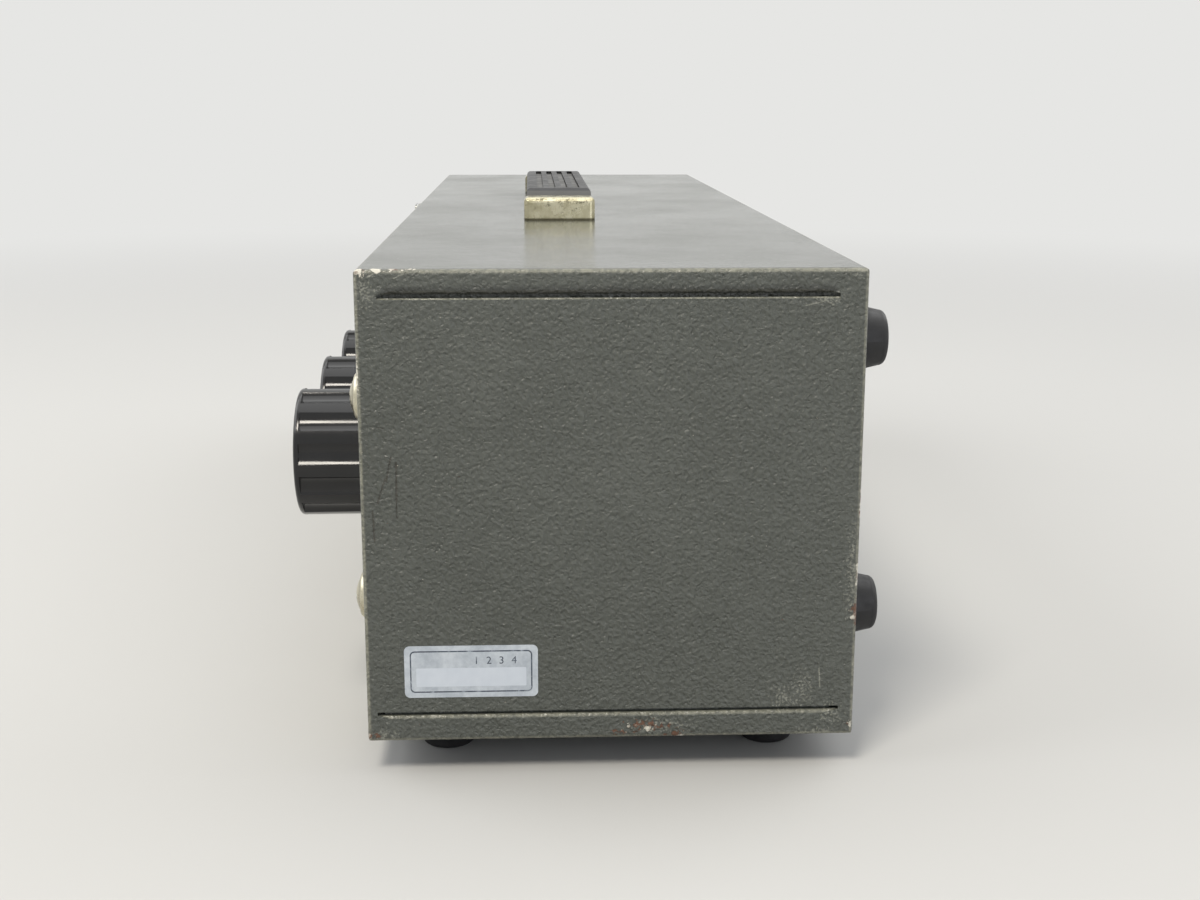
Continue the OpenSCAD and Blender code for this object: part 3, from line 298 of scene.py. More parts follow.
# The bare steel is bright near the top, and has rusted lower down.
damp = add(tree, "ShaderNodeMapRange", {"Value": level, "From Min": 0.02, "From Max": 0.14, "To Min": 0.06,
                                        "To Max": -0.1})[0]
rust = add(tree, "ShaderNodeTexNoise", {"Vector": place, "Scale": 1000 / 3, "Detail": 3})["Fac"]
rust = add(tree, "ShaderNodeMath", {0: rust, 1: damp}, operation="ADD")[0]
rust = add(tree, "ShaderNodeMapRange", {"Value": rust, "From Min": 0.44, "From Max": 0.56})[0]
metal = add(tree, "ShaderNodeMixRGB", {"Fac": rust, "Color1": srgb("#D6D2C4"), "Color2": srgb("#6A4C3A")})[0]
skin = add(tree, "ShaderNodeMixRGB", {"Fac": bare, "Color1": skin, "Color2": metal})[0]
# Dust lies on the top as pale specks half a millimetre across, thicker in some places.
upward = add(tree, "ShaderNodeSeparateXYZ", {0: facing})[2]
specks = add(tree, "ShaderNodeTexVoronoi", {"Vector": place, "Scale": 1000 / 3.2})["Distance"]
specks = add(tree, "ShaderNodeMath", {0: specks, 1: cloud}, operation="DIVIDE")[0]
specks = add(tree, "ShaderNodeMapRange", {"Value": specks, "From Min": 0.15, "From Max": 0.11})[0]
lying = add(tree, "ShaderNodeMapRange", {"Value": upward, "From Min": 0.8, "From Max": 0.95, "To Max": 0.4})[0]
dust = add(tree, "ShaderNodeMath", {0: specks, 1: lying}, operation="MULTIPLY")[0]
skin = add(tree, "ShaderNodeMixRGB", {"Fac": dust, "Color1": skin, "Color2": srgb("#C9C6BB")})[0]
tree.links.new(skin, shader.inputs["Base Color"])
# The spray levelled out on the top, so there the pits are shallower and the gloss is higher.
flat = add(tree, "ShaderNodeMapRange", {"Value": upward, "From Min": 0.3, "From Max": 0.9})[0]
gloss = add(tree, "ShaderNodeMapRange", {"Value": cloud, "From Min": 0.3, "From Max": 0.7, "To Min": 0.3,
                                         "To Max": 0.42})[0]
gloss = add(tree, "ShaderNodeMath", {0: flat, 1: -0.2, 2: gloss}, operation="MULTIPLY_ADD")[0]
gloss = add(tree, "ShaderNodeMath", {0: gloss, 1: dust}, operation="MAXIMUM")[0]
tree.links.new(gloss, shader.inputs["Roughness"])
relief = add(tree, "ShaderNodeMath", {0: flat, 1: -0.9, 2: 1}, operation="MULTIPLY_ADD")[0]
relief = add(tree, "ShaderNodeMath", {0: height, 1: relief}, operation="MULTIPLY")[0]
relief = add(tree, "ShaderNodeMath", {0: bare, 1: -0.5, 2: relief}, operation="MULTIPLY_ADD")[0]
relief = add(tree, "ShaderNodeMath", {0: scored, 1: -0.4, 2: relief}, operation="MULTIPLY_ADD")[0]
bump = add(tree, "ShaderNodeBump", {"Height": relief, "Strength": 1, "Distance": 0.00058})[0]
tree.links.new(bump, shader.inputs["Normal"])
paint(enamel, "case_wrapper", "end_panel_right", "end_panel_left")

# ---------- asset sticker ----------
# A metallised paper sticker, 38 by 16 mm, stuck low on the right end. It has a thin dark rounded
# border, a paler field for writing on, and worn plain digits, all printed on it.
LABEL_LOW, LABEL_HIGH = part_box("asset_label")
LABEL_MID = (LABEL_LOW + LABEL_HIGH) / 2
LABEL_INK_MM = 0.02
# How far a sharp corner of a drawn line may reach out, and how near two of its points are joined.
MITRE_LIMIT = 0.4
WELD_MM = 0.0005


def stroke(shape, points, width, closed=False):
    """A flat line of even width through points, with mitred corners, added to a mesh, in mm."""
    points = [Vector(p) for p in points]
    count = len(points)
    rows = []
    for i, point in enumerate(points):
        ahead = points[(i + 1) % count] - point if closed or i < count - 1 else point - points[i - 1]
        behind = point - points[i - 1] if closed or i else ahead
        lean = (ahead.normalized() + behind.normalized()).normalized()
        side = Vector((-lean.y, lean.x))
        across = Vector((-behind.y, behind.x)).normalized()
        side *= width / 2 / max(side.dot(across), MITRE_LIMIT)
        rows.append([shape.verts.new((*(point + s * side), 0)) for s in (-1, 1)])
    for i in range(count if closed else count - 1):
        a, b = rows[i], rows[(i + 1) % count]
        shape.faces.new((a[0], b[0], b[1], a[1]))


def letters(shape, words, at, size, angle=0):
    """Plain letters or digits, centred on a point, added to a mesh, in mm."""
    text = bpy.data.objects.new("letters", bpy.data.curves.new("letters", "FONT"))
    text.data.body, text.data.size = words, size
    text.data.align_x, text.data.align_y = "CENTER", "CENTER"
    text.data.resolution_u = 3
    bpy.context.scene.collection.objects.link(text)
    flat = bpy.data.meshes.new_from_object(text.evaluated_get(bpy.context.evaluated_depsgraph_get()))
    flat.transform(Matrix.Translation((*at, 0)) @ Matrix.Rotation(angle, 4, "Z"))
    shape.from_mesh(flat)
    bpy.data.meshes.remove(flat)
    bpy.data.objects.remove(text)


def new_piece(name, shape, body, material, matrix=Matrix(), thickness=None):
    """A piece from a mesh drawn in mm, put where it belongs, which rides on a body."""
    made = bpy.data.objects.new(name, bpy.data.meshes.new(name))
    bmesh.ops.remove_doubles(shape, verts=shape.verts, dist=WELD_MM)
    if thickness:
        side = bmesh.ops.extrude_face_region(shape, geom=shape.faces[:])["geom"]
        moved = [v for v in side if isinstance(v, bmesh.types.BMVert)]
        bmesh.ops.translate(shape, verts=moved, vec=(0, 0, thickness))
    bmesh.ops.recalc_face_normals(shape, faces=shape.faces)
    shape.to_mesh(made.data)
    shape.free()
    made.data.transform(matrix @ Matrix.Scale(0.001, 4))
    made.data.materials.append(material)
    bpy.context.scene.collection.objects.link(made)
    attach(made, body)
    return made


def rounded(width, height, radius, steps=5):
    """The outline of a rectangle with round corners, about its middle."""
    return [
        (sx * (width / 2 - radius) + radius * math.cos(math.radians(start + 90 * i / steps)),
         sy * (height / 2 - radius) + radius * math.sin(math.radians(start + 90 * i / steps)))
        for sx, sy, start in ((1, 1, 0), (-1, 1, 90), (-1, -1, 180), (1, -1, 270))
        for i in range(steps + 1)
    ]


# Metallised paper under a clear film: a soft sheen, with creases and grime rubbed in.
foil, tree, shader, place = new_finish("metallised_paper", "#BEC6CF", 0.25, 0.38)
smear = add(tree, "ShaderNodeTexNoise", {"Vector": place, "Scale": 1000 / 5, "Detail": 5, "Roughness": 0.7})["Fac"]
smear = add(tree, "ShaderNodeMapRange", {"Value": smear, "From Min": 0.35, "From Max": 0.65})[0]
tint = add(tree, "ShaderNodeMixRGB", {"Fac": smear, "Color1": srgb("#AEB6BF"), "Color2": srgb("#CCD3DA")})[0]
tree.links.new(tint, shader.inputs["Base Color"])
sheen = add(tree, "ShaderNodeMapRange", {"Value": smear, "To Min": 0.48, "To Max": 0.3})[0]
tree.links.new(sheen, shader.inputs["Roughness"])
creases = add(tree, "ShaderNodeTexNoise", {"Vector": place, "Scale": 1000 / 2, "Detail": 3})["Fac"]
bump = add(tree, "ShaderNodeBump", {"Height": creases, "Strength": 0.5, "Distance": 0.0002})[0]
tree.links.new(bump, shader.inputs["Normal"])
paint(foil, "asset_label")

# Label ink: a thin matt grey-blue print, broken where it has been rubbed away.
label_ink, tree, shader, place = new_finish("rubbed_label_ink", "#4A5260", 0, 0.55)
rub = add(tree, "ShaderNodeTexNoise", {"Vector": place, "Scale": 1000 / 2.2, "Detail": 4, "Roughness": 0.7})["Fac"]
rub = add(tree, "ShaderNodeMapRange", {"Value": rub, "From Min": 0.52, "From Max": 0.68})[0]
tint = add(tree, "ShaderNodeMixRGB", {"Fac": rub, "Color1": srgb("#3E4654"), "Color2": srgb("#9AA3AE")})[0]
tree.links.new(tint, shader.inputs["Base Color"])

# The writing field: a flat white print with a faint mottle.
field_white, tree, shader, place = new_finish("label_field_white", "#CED6DF", 0, 0.45)
mottle = add(tree, "ShaderNodeTexNoise", {"Vector": place, "Scale": 1000 / 3, "Detail": 4})["Fac"]
tint = add(tree, "ShaderNodeMixRGB", {"Fac": mottle, "Color1": srgb("#C6CED8"), "Color2": srgb("#D6DDE5")})[0]
tree.links.new(tint, shader.inputs["Base Color"])

# On the right end a drawing's x runs along +Y and its y along +Z, out of the face along +X.
on_label = Matrix(((0, 0, 1), (1, 0, 0), (0, 1, 0))).to_4x4()
on_label = Matrix.Translation((LABEL_HIGH.x, LABEL_MID.y, LABEL_MID.z)) @ on_label
border = bmesh.new()
stroke(border, rounded(34.6, 12.2, 1.2), 0.38, closed=True)
new_piece("label_border", border, "case", label_ink, on_label, LABEL_INK_MM)
digits = bmesh.new()
for i, digit in enumerate("1234"):
    letters(digits, digit, (1.5 + 3.6 * i, 3.2), 3.2)
new_piece("label_digits", digits, "case", label_ink, on_label, LABEL_INK_MM)
field = bmesh.new()
field.faces.new([field.verts.new((x, y - 1.7, 0)) for x, y in rounded(31.5, 5.6, 0.3, 2)])
new_piece("label_field", field, "case", field_white, on_label, LABEL_INK_MM)

# ---------- cup washers and panel screws ----------
# Finishing washers pressed from brass sheet, and oval-head screws with cross recesses, all nickel
# plated. The plate is dull and yellowed, and scratched round the recesses by screwdrivers.


def finish(name, colours, metallic, roughness, grain_mm, relief_mm, stretch=(1, 1, 1), patch=8):
    """A material that drifts between two shades, with a grain of a real size in its relief.

    The patches of shade are patch times as wide as the grain, and stretch draws the grain out
    along an axis, as brushing or rolling does. The gloss varies with the patches.
    """
    made, tree, shader, place = new_finish(name, colours[0], metallic, roughness)
    drawn = add(tree, "ShaderNodeVectorMath", {0: place, 1: stretch}, operation="MULTIPLY")[0]
    grain = add(tree, "ShaderNodeTexNoise", {"Vector": drawn, "Scale": 1000 / grain_mm, "Detail": 4})["Fac"]
    drift = add(tree, "ShaderNodeTexNoise", {"Vector": place, "Scale": 1000 / grain_mm / patch,
                                             "Detail": 3})["Fac"]
    shade = add(tree, "ShaderNodeMath", {0: grain, 1: 0.6, 2: drift}, operation="MULTIPLY_ADD")[0]
    shade = add(tree, "ShaderNodeMapRange", {"Value": shade, "From Min": 0.6, "From Max": 1})[0]
    tint = add(tree, "ShaderNodeMixRGB", {"Fac": shade, "Color1": srgb(colours[0]), "Color2": srgb(colours[1])})[0]
    tree.links.new(tint, shader.inputs["Base Color"])
    dull = add(tree, "ShaderNodeMapRange", {"Value": drift, "From Min": 0.3, "From Max": 0.7,
                                            "To Min": roughness * 0.75, "To Max": roughness * 1.25})[0]
    tree.links.new(dull, shader.inputs["Roughness"])
    bump = add(tree, "ShaderNodeBump", {"Height": grain, "Strength": 0.6, "Distance": relief_mm / 1000})[0]
    tree.links.new(bump, shader.inputs["Normal"])
    return made


def overlay(material, amount, code):
    """Lays a second colour over a finish, by an amount from 0 to 1."""
    tree = material.node_tree
    colour = tree.nodes["Principled BSDF"].inputs["Base Color"]
    under = colour.links[0].from_socket
    mixed = add(tree, "ShaderNodeMixRGB", {"Fac": amount, "Color1": under, "Color2": srgb(code)})[0]
    tree.links.new(mixed, colour)


# Dull nickel plate: a warm pale metal with cloudy patches and a fine grain.
old_nickel = finish("dull_nickel_plate", ("#B5AF98", "#CFCAB6"), 1, 0.32, 0.5, 0.02, patch=9)
# Painted shade: a dark tint round each head and in the cross of its recess. The four screws lie evenly
# about the panel's middle, so their places fold onto one of them.
SCREW_LOW, SCREW_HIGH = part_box("panel_screws")
HEAD_R, RECESS_R = 0.0051, 0.003
one_screw = (SCREW_HIGH - SCREW_LOW) / 2 - Vector((HEAD_R, 0, HEAD_R))
tree = old_nickel.node_tree
place = add(tree, "ShaderNodeTexCoord")["Object"]
middle = (0, SCREW_LOW.y, (SCREW_LOW.z + SCREW_HIGH.z) / 2)
folded = add(tree, "ShaderNodeVectorMath", {0: place, 1: middle}, operation="SUBTRACT")[0]
folded = add(tree, "ShaderNodeVectorMath", {0: folded}, operation="ABSOLUTE")[0]
depth = add(tree, "ShaderNodeSeparateXYZ", {0: folded})[1]
folded = add(tree, "ShaderNodeVectorMath", {0: folded, 1: (one_screw.x, 0, one_screw.z)}, operation="SUBTRACT")[0]
folded = add(tree, "ShaderNodeVectorMath", {0: folded, 1: (1, 0, 1)}, operation="MULTIPLY")[0]
radius = add(tree, "ShaderNodeVectorMath", {0: folded}, operation="LENGTH")["Value"]
ring = add(tree, "ShaderNodeMath", {0: radius, 1: HEAD_R}, operation="SUBTRACT")[0]
ring = add(tree, "ShaderNodeMath", {0: ring}, operation="ABSOLUTE")[0]
ring = add(tree, "ShaderNodeMapRange", {"Value": ring, "From Min": 0.0005, "From Max": 0.0001, "To Max": 0.8})[0]
cross = add(tree, "ShaderNodeMapRange", {"Value": depth, "From Min": 0.0006, "From Max": 0.0012,
                                         "To Max": 0.85})[0]
inner = add(tree, "ShaderNodeMath", {0: radius, 1: RECESS_R}, operation="LESS_THAN")[0]
cross = add(tree, "ShaderNodeMath", {0: cross, 1: inner}, operation="MULTIPLY")[0]
painted_shade = add(tree, "ShaderNodeMath", {0: ring, 1: cross}, operation="MAXIMUM")[0]
overlay(old_nickel, painted_shade, "#3A362B")
paint(old_nickel, "cup_washers", "panel_screws")

# ---------- feet ----------
# Moulded black rubber feet with a rounded edge, screwed through a well in the middle: four under
# the case and four behind it, so that it can also stand on its back.

# Moulded rubber: nearly black and matt, greyed by dust, with a fine pitted skin.
rubber = finish("moulded_rubber", ("#121214", "#202022"), 0, 0.55, 0.5, 0.05, patch=7)
paint(rubber, "bottom_feet", "rear_feet")
# Zinc-plated steel: grey with a faint blue cast and cloudy spangle.
zinc = finish("zinc_plated_steel", ("#8F9293", "#A9ABA8"), 1, 0.4, 0.6, 0.02)
paint(zinc, "foot_screws")

# ---------- handle ----------
# A vinyl strap moulded over a spring-steel band, with four grooves along its grip. A pressed,
# nickel-plated cap holds each end, screwed down from inside the case.

# Moulded vinyl: black with a soft sheen and a fine leather grain, dusty in the grooves.
vinyl = finish("grained_black_vinyl", ("#131315", "#1F1F21"), 0, 0.42, 0.7, 0.06, patch=9)
tree = vinyl.node_tree
place = add(tree, "ShaderNodeTexCoord")["Object"]
level = add(tree, "ShaderNodeSeparateXYZ", {0: place})[2]
STRAP_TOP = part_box("handle_strap")[1].z
dusty = add(tree, "ShaderNodeMapRange", {"Value": level, "From Min": STRAP_TOP - 0.0011,
                                         "From Max": STRAP_TOP - 0.0008, "To Min": 0.5, "To Max": 0})[0]
overlay(vinyl, dusty, "#5E5D59")
paint(vinyl, "handle_strap")

# Nickel-plated steel of the caps: cream-tinged and glossy, dulled by fine upright scratches, with
# dark nicks that gather under the upper edge, and a painted contact shadow as a dark line along the foot.
capped = finish("scratched_nickel_plate", ("#B9B293", "#CFC9AE"), 1, 0.26, 0.35, 0.02, (1, 1, 0.18), 12)
tree = capped.node_tree
place = add(tree, "ShaderNodeTexCoord")["Object"]
CAP_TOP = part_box("handle_caps")[1].z
drawn = add(tree, "ShaderNodeVectorMath", {0: place, 1: (0.5, 0.5, 1)}, operation="MULTIPLY")[0]
nicks_and_foot_shadow = add(tree, "ShaderNodeTexNoise", {"Vector": drawn, "Scale": 1000 / 1.1, "Detail": 5,
                                         "Roughness": 0.75})["Fac"]
level = add(tree, "ShaderNodeSeparateXYZ", {0: place})[2]
upper = add(tree, "ShaderNodeMapRange", {"Value": level, "From Min": CAP_TOP - 0.006, "From Max": CAP_TOP - 0.0015,
                                         "To Max": 0.09})[0]
below = add(tree, "ShaderNodeMath", {0: level, 1: CAP_TOP - 0.0003}, operation="LESS_THAN")[0]
upper = add(tree, "ShaderNodeMath", {0: upper, 1: below}, operation="MULTIPLY")[0]
nicks_and_foot_shadow = add(tree, "ShaderNodeMath", {0: nicks_and_foot_shadow, 1: upper}, operation="ADD")[0]
nicks_and_foot_shadow = add(tree, "ShaderNodeMapRange", {"Value": nicks_and_foot_shadow, "From Min": 0.61, "From Max": 0.68, "To Max": 0.75})[0]
# Painted shadow: a dark line along each cap's foot, where it meets the case top.
foot = add(tree, "ShaderNodeMapRange", {"Value": level, "From Min": TOP_Z + 0.0011, "From Max": TOP_Z + 0.0005,
                                        "To Max": 0.9})[0]
nicks_and_foot_shadow = add(tree, "ShaderNodeMath", {0: nicks_and_foot_shadow, 1: foot}, operation="MAXIMUM")[0]
overlay(capped, nicks_and_foot_shadow, "#4A4534")
paint(capped, "handle_caps")
paint(zinc, "handle_screws")

# ---------- front panel ----------
# A 3 mm aluminium plate, sprayed a light warm grey and printed in one dark ink: scales round the
# controls, the five wave shapes, range numbers, and the two positions of the power switch.
FACE_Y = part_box("front_panel")[0].y
PRINT_MM = 0.03
AMPLITUDE, OFFSET, WAVEFORM, RANGE, FREQUENCY = (202.5, 85), (141.5, 85), (80.5, 85), (19.5, 85), (-85, 85)
TOGGLE = (-196, 62)
SOCKETS = [(80.5, 36), (19.5, 36), (-163, 36)]

# Sprayed stoving enamel: light warm grey, nearly even, with a faint orange peel 2 mm across.
panel_grey = finish("light_grey_stoved_enamel", ("#B7B4A7", "#BBB8AB"), 0, 0.4, 1.6, 0.03, patch=14)
paint(panel_grey, "front_panel")
# Silk-screen ink: dark grey, matt, a little uneven where the mesh left less.
screen_ink = finish("screen_printed_ink", ("#232427", "#35363A"), 0, 0.55, 0.4, 0.005)


def round_scale(centre, angle, radius):
    """The point at that angle, clockwise from the top in degrees, and radius round a control."""
    return (centre[0] + radius * math.sin(math.radians(angle)), centre[1] + radius * math.cos(math.radians(angle)))


def on_front(x, y, z):
    """Turns a drawing so that its x runs to the user's right, its y up, and its z out of the front."""
    return Matrix.Translation((x, y, z)) @ Matrix(((1, 0, 0), (0, 0, -1), (0, 1, 0))).to_4x4()


legends = bmesh.new()
# Scale marks, from one radius to another, the radii of the words and shapes, and the lines' widths.
LONG_MARK, SHORT_MARK, WORDS_R, SHAPES_R = (21.2, 23.6), (21.2, 22.4), 26.6, 28.6
THICK, THIN = 0.45, 0.3
# Scales: each control's centre, its end angle, the steps between the ends, and the marks' words.
SCALES = [
    (AMPLITUDE, 150, 10, "0 1 2 3 4 5 6 7 8 9 10".split()),
    (OFFSET, 150, 10, ["−", "", "", "", "", "0", "", "", "", "", "+"]),
    (RANGE, 90, 6, "1 10 100 1k 10k 100k 1M".split()),
]
for centre, end, steps, words in SCALES:
    for i, word in enumerate(words):
        angle = -end + 2 * end * i / steps
        stroke(legends, [round_scale(centre, angle, r) for r in LONG_MARK], THICK)
        if word:
            letters(legends, word, round_scale(centre, angle, WORDS_R), 3.4)
    if end > 90:
        for i in range(steps * 2):
            angle = -end + end * (i + 0.5) / steps
            stroke(legends, [round_scale(centre, angle, r) for r in SHORT_MARK], THIN)
        arc = [round_scale(centre, -end + 2 * end * i / 60, LONG_MARK[0]) for i in range(61)]
        stroke(legends, arc, THIN)
# Wave shapes round the waveform switch: sine, triangle, square, ramp and pulse.
SHAPES = [
    [(x / 8 - 1, math.sin(math.pi * (x / 8 - 1))) for x in range(17)],
    [(-1, 0), (-0.5, 1), (0.5, -1), (1, 0)],
    [(-1, -1), (-1, 1), (0, 1), (0, -1), (1, -1), (1, 1)],
    [(-1, -1), (1, 1), (1, -1)],
    [(-1, -1), (-0.3, -1), (-0.3, 1), (0.3, 1), (0.3, -1), (1, -1)],
]
for i, shape in enumerate(SHAPES):
    angle = -60 + 30 * i
    stroke(legends, [round_scale(WAVEFORM, angle, r) for r in LONG_MARK], THICK)
    middle = round_scale(WAVEFORM, angle, SHAPES_R)
    stroke(legends, [(middle[0] + 3 * x, middle[1] + 1.7 * y) for x, y in shape], THICK)
letters(legends, "ON", (TOGGLE[0], TOGGLE[1] + 15), 3.6)
letters(legends, "OFF", (TOGGLE[0], TOGGLE[1] - 16.5), 3.6)
# Each signal socket stands in a printed ring.
for x, z in SOCKETS:
    stroke(legends, [round_scale((x, z), a, 10.4) for a in range(0, 360, 10)], 0.35, closed=True)
new_piece("panel_legends", legends, "case", screen_ink, on_front(0, FACE_Y, 0), PRINT_MM)

# ---------- controls ----------
# Five fluted knobs of moulded phenolic, each held on its shaft by a slotted set screw. A spun
# aluminium disc is let into each face, and a white line is filled in from the disc to the rim.
KNOB_FACE_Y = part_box("amplitude_knob")[0].y
CONTROLS = {
    "amplitude": (AMPLITUDE, 15.5, 19.5), "offset": (OFFSET, 15.5, 19.5), "waveform": (WAVEFORM, 15.5, 19.5),
    "range": (RANGE, 15.5, 19.5), "frequency": (FREQUENCY, 18.28, 23),
}
GROOVE_MM, GROOVE_DEPTH_MM, RIM_MM = 1.2, 0.5, 1.3

# Moulded phenolic: deep black and glossy, a little duller here and there from handling.
phenolic = finish("moulded_black_phenolic", ("#0B0B0C", "#141416"), 0, 0.13, 0.8, 0.006, patch=12)
# Filled line: flat white paint, slightly yellowed.
line_white = finish("filled_white_line", ("#DAD8CC", "#E9E7DD"), 0, 0.5, 0.4, 0.01)
for name, (centre, disc_r, knob_r) in CONTROLS.items():
    paint(phenolic, name + "_knob")
    # Spun aluminium: bright, with turned rings 0.5 mm apart that draw each light into a fan.
    spun, tree, shader, place = new_finish("spun_aluminium_" + name, "#C6C8CA", 1, 0.28)
    middle = (-centre[0] / 1000, 0, -centre[1] / 1000)
    turned = add(tree, "ShaderNodeVectorMath", {0: place, 1: middle}, operation="ADD")[0]
    turned = add(tree, "ShaderNodeVectorMath", {0: turned, 1: (1, 0, 1)}, operation="MULTIPLY")[0]
    radius = add(tree, "ShaderNodeVectorMath", {0: turned}, operation="LENGTH")["Value"]
    radius = add(tree, "ShaderNodeCombineXYZ", {0: radius})[0]
    rings = add(tree, "ShaderNodeTexNoise", {"Vector": radius, "Scale": 1000 / 0.5, "Detail": 3})["Fac"]
    cloud = add(tree, "ShaderNodeTexNoise", {"Vector": place, "Scale": 1000 / 9, "Detail": 3})["Fac"]
    shade = add(tree, "ShaderNodeMath", {0: cloud, 1: 0.5, 2: rings}, operation="MULTIPLY_ADD")[0]
    shade = add(tree, "ShaderNodeMapRange", {"Value": shade, "From Min": 0.5, "From Max": 1})[0]
    tint = add(tree, "ShaderNodeMixRGB", {"Fac": shade, "Color1": srgb("#B2B4B6"), "Color2": srgb("#D6D8DA")})[0]
    tree.links.new(tint, shader.inputs["Base Color"])
    dull = add(tree, "ShaderNodeMapRange", {"Value": shade, "To Min": 0.24, "To Max": 0.34})[0]
    tree.links.new(dull, shader.inputs["Roughness"])
    bump = add(tree, "ShaderNodeBump", {"Height": rings, "Strength": 1, "Distance": 0.00012})[0]
    tree.links.new(bump, shader.inputs["Normal"])
    paint(spun, name + "_inlay")
    # The line's section from the disc to the rim, which it follows 0.05 mm under the knob's face.
    floor_z = -GROOVE_DEPTH_MM
    section = [(disc_r + 0.1, floor_z), (disc_r + 0.1, -0.05), (knob_r - RIM_MM, -0.05)]
    for a in (75, 60, 45, 38):
        out, down = math.cos(math.radians(a)), math.sin(math.radians(a))
        section.append((knob_r - RIM_MM + RIM_MM * out - 0.05, RIM_MM * down - RIM_MM))
    line = bmesh.new()
    sides = [[line.verts.new((s * (GROOVE_MM / 2 - 0.02), y, z)) for y, z in section] for s in (-1, 1)]
    line.faces.new(sides[0])
    line.faces.new(reversed(sides[1]))
    for i in range(len(section)):
        j = (i + 1) % len(section)
        line.faces.new((sides[0][i], sides[0][j], sides[1][j], sides[1][i]))
    on_knob = on_front(centre[0] / 1000, KNOB_FACE_Y, centre[1] / 1000)
    new_piece(name + "_index", line, name + "_control", line_white, on_knob)

# Turned brass and steel of the shafts, bushings and nuts, dull with handling.
shaft_steel = finish("turned_steel", ("#97958A", "#B3B1A6"), 1, 0.35, 0.3, 0.01, (1, 0.1, 1))
paint(shaft_steel, *(name + "_shaft" for name in CONTROLS))
brass = finish("turned_brass", ("#B79A55", "#CDB36E"), 1, 0.32, 0.4, 0.01)
bright_nickel = finish("bright_nickel_plate", ("#B9B6AA", "#CFCCC1"), 1, 0.24, 0.5, 0.01)
paint(bright_nickel, "bushing_nuts")

# ---------- frequency dial and cursor ----------
# A 94 mm aluminium dial, dished for its knob and anodised black, with a printed scale from 1 to
# 10 that turns under a clear acrylic cursor. The cursor's hairline is cut underneath and filled.
DIAL_FACE_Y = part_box("frequency_dial")[0].y
DIAL_R, SCALE_R, DIGITS_R = 47, 42.6, 34.8
SCALE_TURN = 300

# Black anodised aluminium: a satin black with a fine grain.
anodised = finish("black_anodised_aluminium", ("#161617", "#222223"), 0.3, 0.38, 0.5, 0.01, patch=14)
paint(anodised, "frequency_dial")
# Printed scale: off-white ink, matt.
scale_ink = finish("white_scale_ink", ("#D5D3C8", "#E6E4DA"), 0, 0.55, 0.4, 0.005)
scale = bmesh.new()
for tenth in range(10, 101):
    value = tenth / 10
    angle = -(value - 5.5) * SCALE_TURN / 9
    whole = tenth % 10 == 0
    length = 4.6 if whole else 3.4 if tenth % 5 == 0 else 2.2
    mark = [round_scale((0, 0), angle, r) for r in (SCALE_R - length, SCALE_R)]
    stroke(scale, mark, 0.4 if whole else 0.25)
    if whole:
        letters(scale, str(tenth // 10), round_scale((0, 0), angle, DIGITS_R), 4.2, -math.radians(angle))
on_dial = on_front(FREQUENCY[0] / 1000, DIAL_FACE_Y, FREQUENCY[1] / 1000)
new_piece("dial_scale", scale, "frequency_control", scale_ink, on_dial, PRINT_MM)

# Cast acrylic: clear and glossy, with a slow waviness too faint to see but in reflections.
acrylic = finish("clear_cast_acrylic", ("#F2F5F4", "#FFFFFF"), 0, 0.04, 3, 0.0008)
shader = acrylic.node_tree.nodes["Principled BSDF"]
shader.inputs["Transmission Weight"].default_value = 1
shader.inputs["IOR"].default_value = 1.49
paint(acrylic, "dial_cursor")
# The hairline's filling: translucent red lacquer.
red_lacquer = finish("red_hairline_lacquer", ("#A81414", "#C42020"), 0, 0.4, 0.3, 0.003)
hairline = bmesh.new()
bmesh.ops.create_cube(hairline, size=1, matrix=Matrix.Diagonal((0.26, 0.26, 11.6, 1)))
bmesh.ops.bevel(hairline, geom=hairline.edges[:], offset=0.03, segments=1, affect="EDGES")
at_hairline = Matrix.Translation((FREQUENCY[0] / 1000, FACE_Y - 0.00536, (FREQUENCY[1] + DIAL_R - 4) / 1000))
new_piece("cursor_hairline", hairline, "case", red_lacquer, at_hairline)

# ---------- sockets, pilot lamp and power switch ----------
# Three bayonet sockets of turned, nickel-plated brass with white insulators and gilt contacts, a
# pilot lamp with a red lens in a plated bezel, and a toggle switch with a chromed bat lever.
paint(bright_nickel, "bnc_shells", "lamp_bezel", "toggle_switch")
# Turned PTFE: waxy white with a soft sheen.
ptfe = finish("turned_white_ptfe", ("#DFDDD3", "#EEECE4"), 0, 0.42, 0.5, 0.01)
ptfe.node_tree.nodes["Principled BSDF"].inputs["Subsurface Weight"].default_value = 0.2
ptfe.node_tree.nodes["Principled BSDF"].inputs["Subsurface Radius"].default_value = (0.001, 0.001, 0.001)
paint(ptfe, "bnc_insulators")
paint(brass, "bnc_contacts")
# Moulded acrylic lens: deep clear red, glossy, with moulded facets too fine to see singly.
red_lens = finish("moulded_red_acrylic", ("#A50E10", "#C01818"), 0, 0.12, 0.7, 0.02)
shader = red_lens.node_tree.nodes["Principled BSDF"]
shader.inputs["Transmission Weight"].default_value = 0.6
shader.inputs["IOR"].default_value = 1.49
paint(red_lens, "lamp_lens")
# Chromed brass: a bright cold mirror with a faint fine grain.
chrome = finish("chromed_brass", ("#C9CBCD", "#DADCDD"), 1, 0.12, 0.4, 0.004)
paint(chrome, "toggle_lever")

# ---------- rear plate and its fittings ----------
# A plated steel plate closes the window in the rear wall. It carries the moulded mains inlet with
# its three pins, a bayonet fuse holder with its cap and glass fuse, and the ground screw.
plated = finish("passivated_steel_sheet", ("#ABAAA0", "#B3B2A8"), 1, 0.42, 0.6, 0.01, (0.08, 1, 1), 30)
paint(plated, "rear_plate", "chassis_tray", "panel_rails")
# Moulded thermoset of the fittings: black, half matt, with a fine texture.
moulding = finish("black_moulded_thermoset", ("#18181A", "#262628"), 0, 0.42, 0.5, 0.02)
paint(moulding, "power_inlet", "fuse_holder", "fuse_cap")
paint(bright_nickel, "inlet_pins")
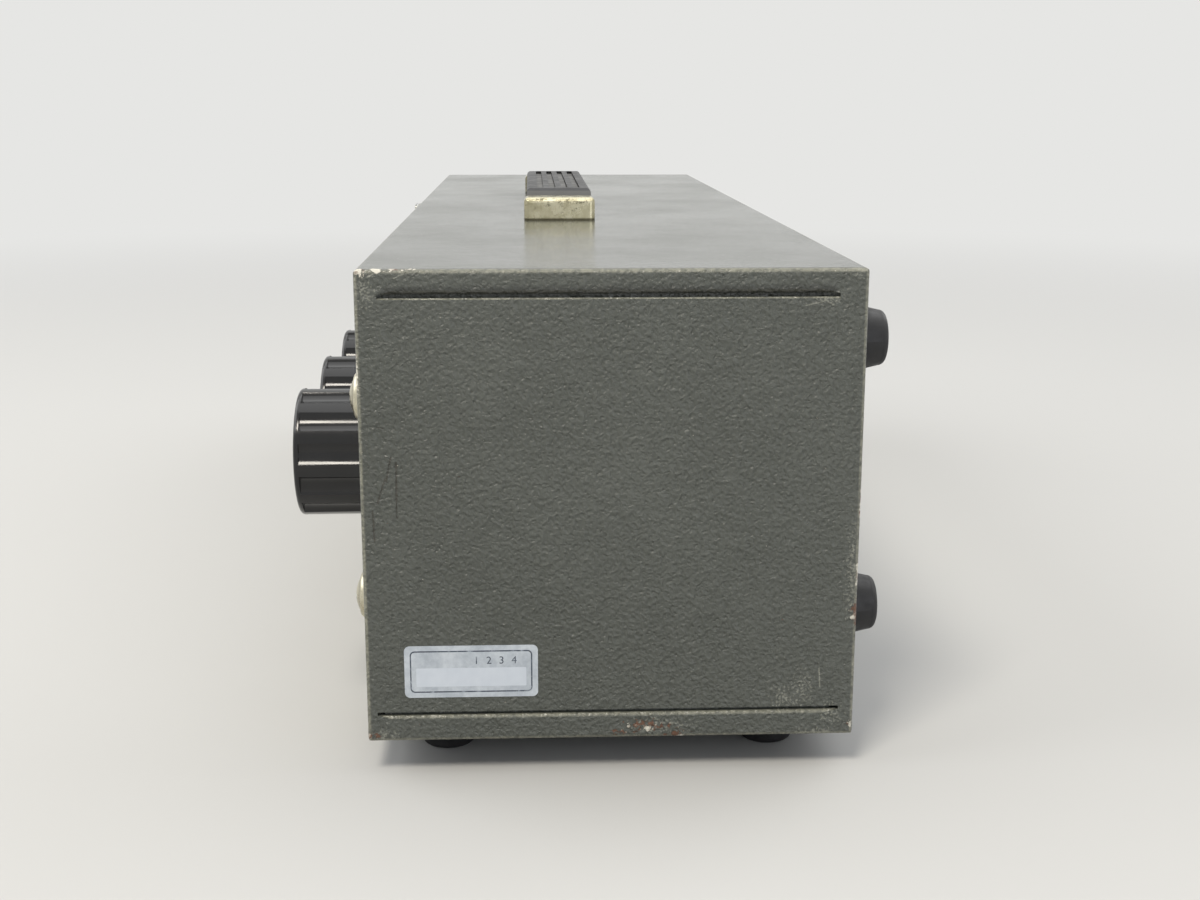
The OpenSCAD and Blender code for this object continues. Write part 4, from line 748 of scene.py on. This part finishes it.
# Drawn glass: clear and glossy, faintly green.
fuse_glass = finish("clear_fuse_glass", ("#DCE6E0", "#EEF4F0"), 0, 0.08, 0.8, 0.004)
fuse_glass.node_tree.nodes["Principled BSDF"].inputs["Transmission Weight"].default_value = 0.8
paint(fuse_glass, "fuse")
paint(brass, "ground_terminal", "board_standoffs")
paint(zinc, "chassis_screws", "panel_nuts")

# ---------- power supply ----------
# A mains transformer: varnished laminations, a winding wrapped in yellow tape, and a folded steel
# strap with two feet, screwed to the tray.
laminations = finish("varnished_core_steel", ("#3F3C38", "#57534D"), 0.8, 0.45, 0.35, 0.03, (1, 6, 1))
paint(laminations, "transformer_core")
winding_tape = finish("varnished_winding_tape", ("#A8873C", "#C7A552"), 0, 0.4, 0.8, 0.05, (1, 1, 4))
paint(winding_tape, "transformer_winding")
paint(plated, "transformer_frame")

# ---------- circuit board ----------
# An epoxy-glass board on brass pillars, with dual in-line packages, electrolytic cans, and two
# regulators on a black finned heat sink.
laminate = finish("green_epoxy_laminate", ("#3B5A2A", "#4D7038"), 0, 0.35, 0.8, 0.02, patch=6)
paint(laminate, "circuit_board")
chip = finish("moulded_package_epoxy", ("#1B1B1D", "#2A2A2C"), 0, 0.5, 0.3, 0.01)
paint(chip, "board_ics", "regulators")
sleeve = finish("blue_vinyl_sleeve", ("#2F4F7C", "#3E6090"), 0, 0.35, 0.6, 0.01)
paint(sleeve, "board_capacitors")
sink = finish("black_anodised_extrusion", ("#1A1A1C", "#29292B"), 0.4, 0.42, 0.5, 0.02, (1, 1, 0.1))
paint(sink, "heat_sink")

# ---------- switches and potentiometers ----------
# Wafer switches of brown phenolic paper on steel rods, and potentiometers in pressed cans. Both
# are clamped to the panel by the nuts on their bushings.
wafers = finish("phenolic_paper_wafers", ("#7A5A33", "#94713F"), 0, 0.45, 0.5, 0.02)
paint(wafers, "rotary_switches")
cans = finish("pressed_plated_steel", ("#9C9B92", "#B7B6AC"), 1, 0.36, 0.5, 0.02)
paint(cans, "potentiometers")
